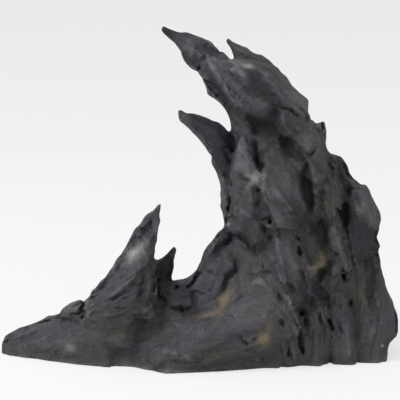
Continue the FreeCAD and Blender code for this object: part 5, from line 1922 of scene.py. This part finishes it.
# ---- Studio ----
@dataclass
class Studio:
    """Pale floor, white backdrop, soft lamps and the camera."""

    sight: Sight
    floor_size: float = 14.0
    floor_colour: tuple = (0.93, 0.93, 0.93, 1.0)
    floor_glow: float = 0.65
    floor_roughness: float = 0.9
    floor_gloss: float = 0.1
    sky_level: float = 0.5
    middle: tuple[float, float, float] = (0.0, 0.0, 0.08)

    def build(self) -> None:
        """Make them all."""
        self.floor()
        self.backdrop()
        self.lamp("key_lamp", Vector((-1.0, -0.8, 1.2)), 0.7, 19.0)
        self.lamp("fill_lamp", Vector((0.9, -0.9, 0.6)), 1.0, 3.0)
        self.camera()

    def floor(self) -> None:
        """Flat square round the origin."""
        half = self.floor_size / 2
        mesh = bpy.data.meshes.new("floor")
        corners = [(-half, -half, 0), (half, -half, 0), (half, half, 0), (-half, half, 0)]
        mesh.from_pydata(corners, [], [(0, 1, 2, 3)])
        nodes = Nodes("floor_paint")
        nodes.shader.inputs["Base Color"].default_value = self.floor_colour
        nodes.shader.inputs["Roughness"].default_value = self.floor_roughness
        nodes.shader.inputs["Specular IOR Level"].default_value = self.floor_gloss
        glow = nodes.add("ShaderNodeEmission", Strength=1.0)
        seen = nodes.add("ShaderNodeMath", operation="MULTIPLY")
        seen.inputs[1].default_value = self.floor_glow
        nodes.join(nodes.add("ShaderNodeLightPath").outputs["Is Camera Ray"], seen.inputs[0])
        mix = nodes.add("ShaderNodeMixShader")
        nodes.join(seen.outputs[0], mix.inputs["Fac"])
        nodes.join(nodes.shader.outputs[0], mix.inputs[1])
        nodes.join(glow.outputs[0], mix.inputs[2])
        nodes.join(mix.outputs[0], nodes.tree.nodes["Material Output"].inputs["Surface"])
        mesh.materials.append(nodes.material)
        floor = bpy.data.objects.new("floor", mesh)
        bpy.context.scene.collection.objects.link(floor)
        floor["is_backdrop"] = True

    def backdrop(self) -> None:
        """World that is white to the eye and in reflections, and a plain soft light to all else."""
        world = bpy.data.worlds.new("studio")
        bpy.context.scene.world = world
        world.use_nodes = True
        tree = world.node_tree
        light = tree.nodes["Background"]
        light.inputs["Color"].default_value = (1.0, 1.0, 1.0, 1.0)
        light.inputs["Strength"].default_value = self.sky_level
        white = tree.nodes.new("ShaderNodeBackground")
        white.inputs["Color"].default_value = (1.0, 1.0, 1.0, 1.0)
        path = tree.nodes.new("ShaderNodeLightPath")
        seen = tree.nodes.new("ShaderNodeMath")
        seen.operation = "MAXIMUM"
        mirrored = tree.nodes.new("ShaderNodeMath")
        mirrored.operation = "MAXIMUM"
        mix = tree.nodes.new("ShaderNodeMixShader")
        for source, target in (
            (path.outputs["Is Camera Ray"], seen.inputs[0]),
            (path.outputs["Is Glossy Ray"], mirrored.inputs[0]),
            (path.outputs["Is Transmission Ray"], mirrored.inputs[1]),
            (mirrored.outputs[0], seen.inputs[1]),
            (seen.outputs[0], mix.inputs["Fac"]),
            (light.outputs[0], mix.inputs[1]),
            (white.outputs[0], mix.inputs[2]),
            (mix.outputs[0], tree.nodes["World Output"].inputs["Surface"]),
        ):
            tree.links.new(source, target)

    def lamp(self, name: str, place: Vector, size: float, power: float) -> None:
        """Square soft lamp at a place, with its side in metres and its power, that faces the rock."""
        data = bpy.data.lights.new(name, "AREA")
        data.size = size
        data.energy = power
        lamp = bpy.data.objects.new(name, data)
        lamp.location = place
        lamp.rotation_euler = (Vector(self.middle) - place).to_track_quat("-Z", "Y").to_euler()
        bpy.context.scene.collection.objects.link(lamp)

    def camera(self) -> None:
        """Camera at the height and distance that give the photograph's view."""
        data = bpy.data.cameras.new("camera")
        data.sensor_width = 36.0
        data.lens = self.sight.lens
        camera = bpy.data.objects.new("camera", data)
        camera.location = Vector(self.sight.eye * MM)
        camera.rotation_euler = Vector(-self.sight.back).to_track_quat("-Z", "Y").to_euler()
        bpy.context.scene.collection.objects.link(camera)
        bpy.context.scene.camera = camera
        bpy.context.scene.view_settings.view_transform = "Standard"


def main() -> None:
    """Build the studio, the rock and its dowels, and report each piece."""
    logging.basicConfig(level=logging.INFO, format="%(name)s: %(message)s")
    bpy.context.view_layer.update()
    sight = Sight()
    Studio(sight).build()
    castings = CaveRock(sight).build()
    Dowels().dress()
    log.info("%d castings", len(castings))


if __name__ == "__main__":
    main()
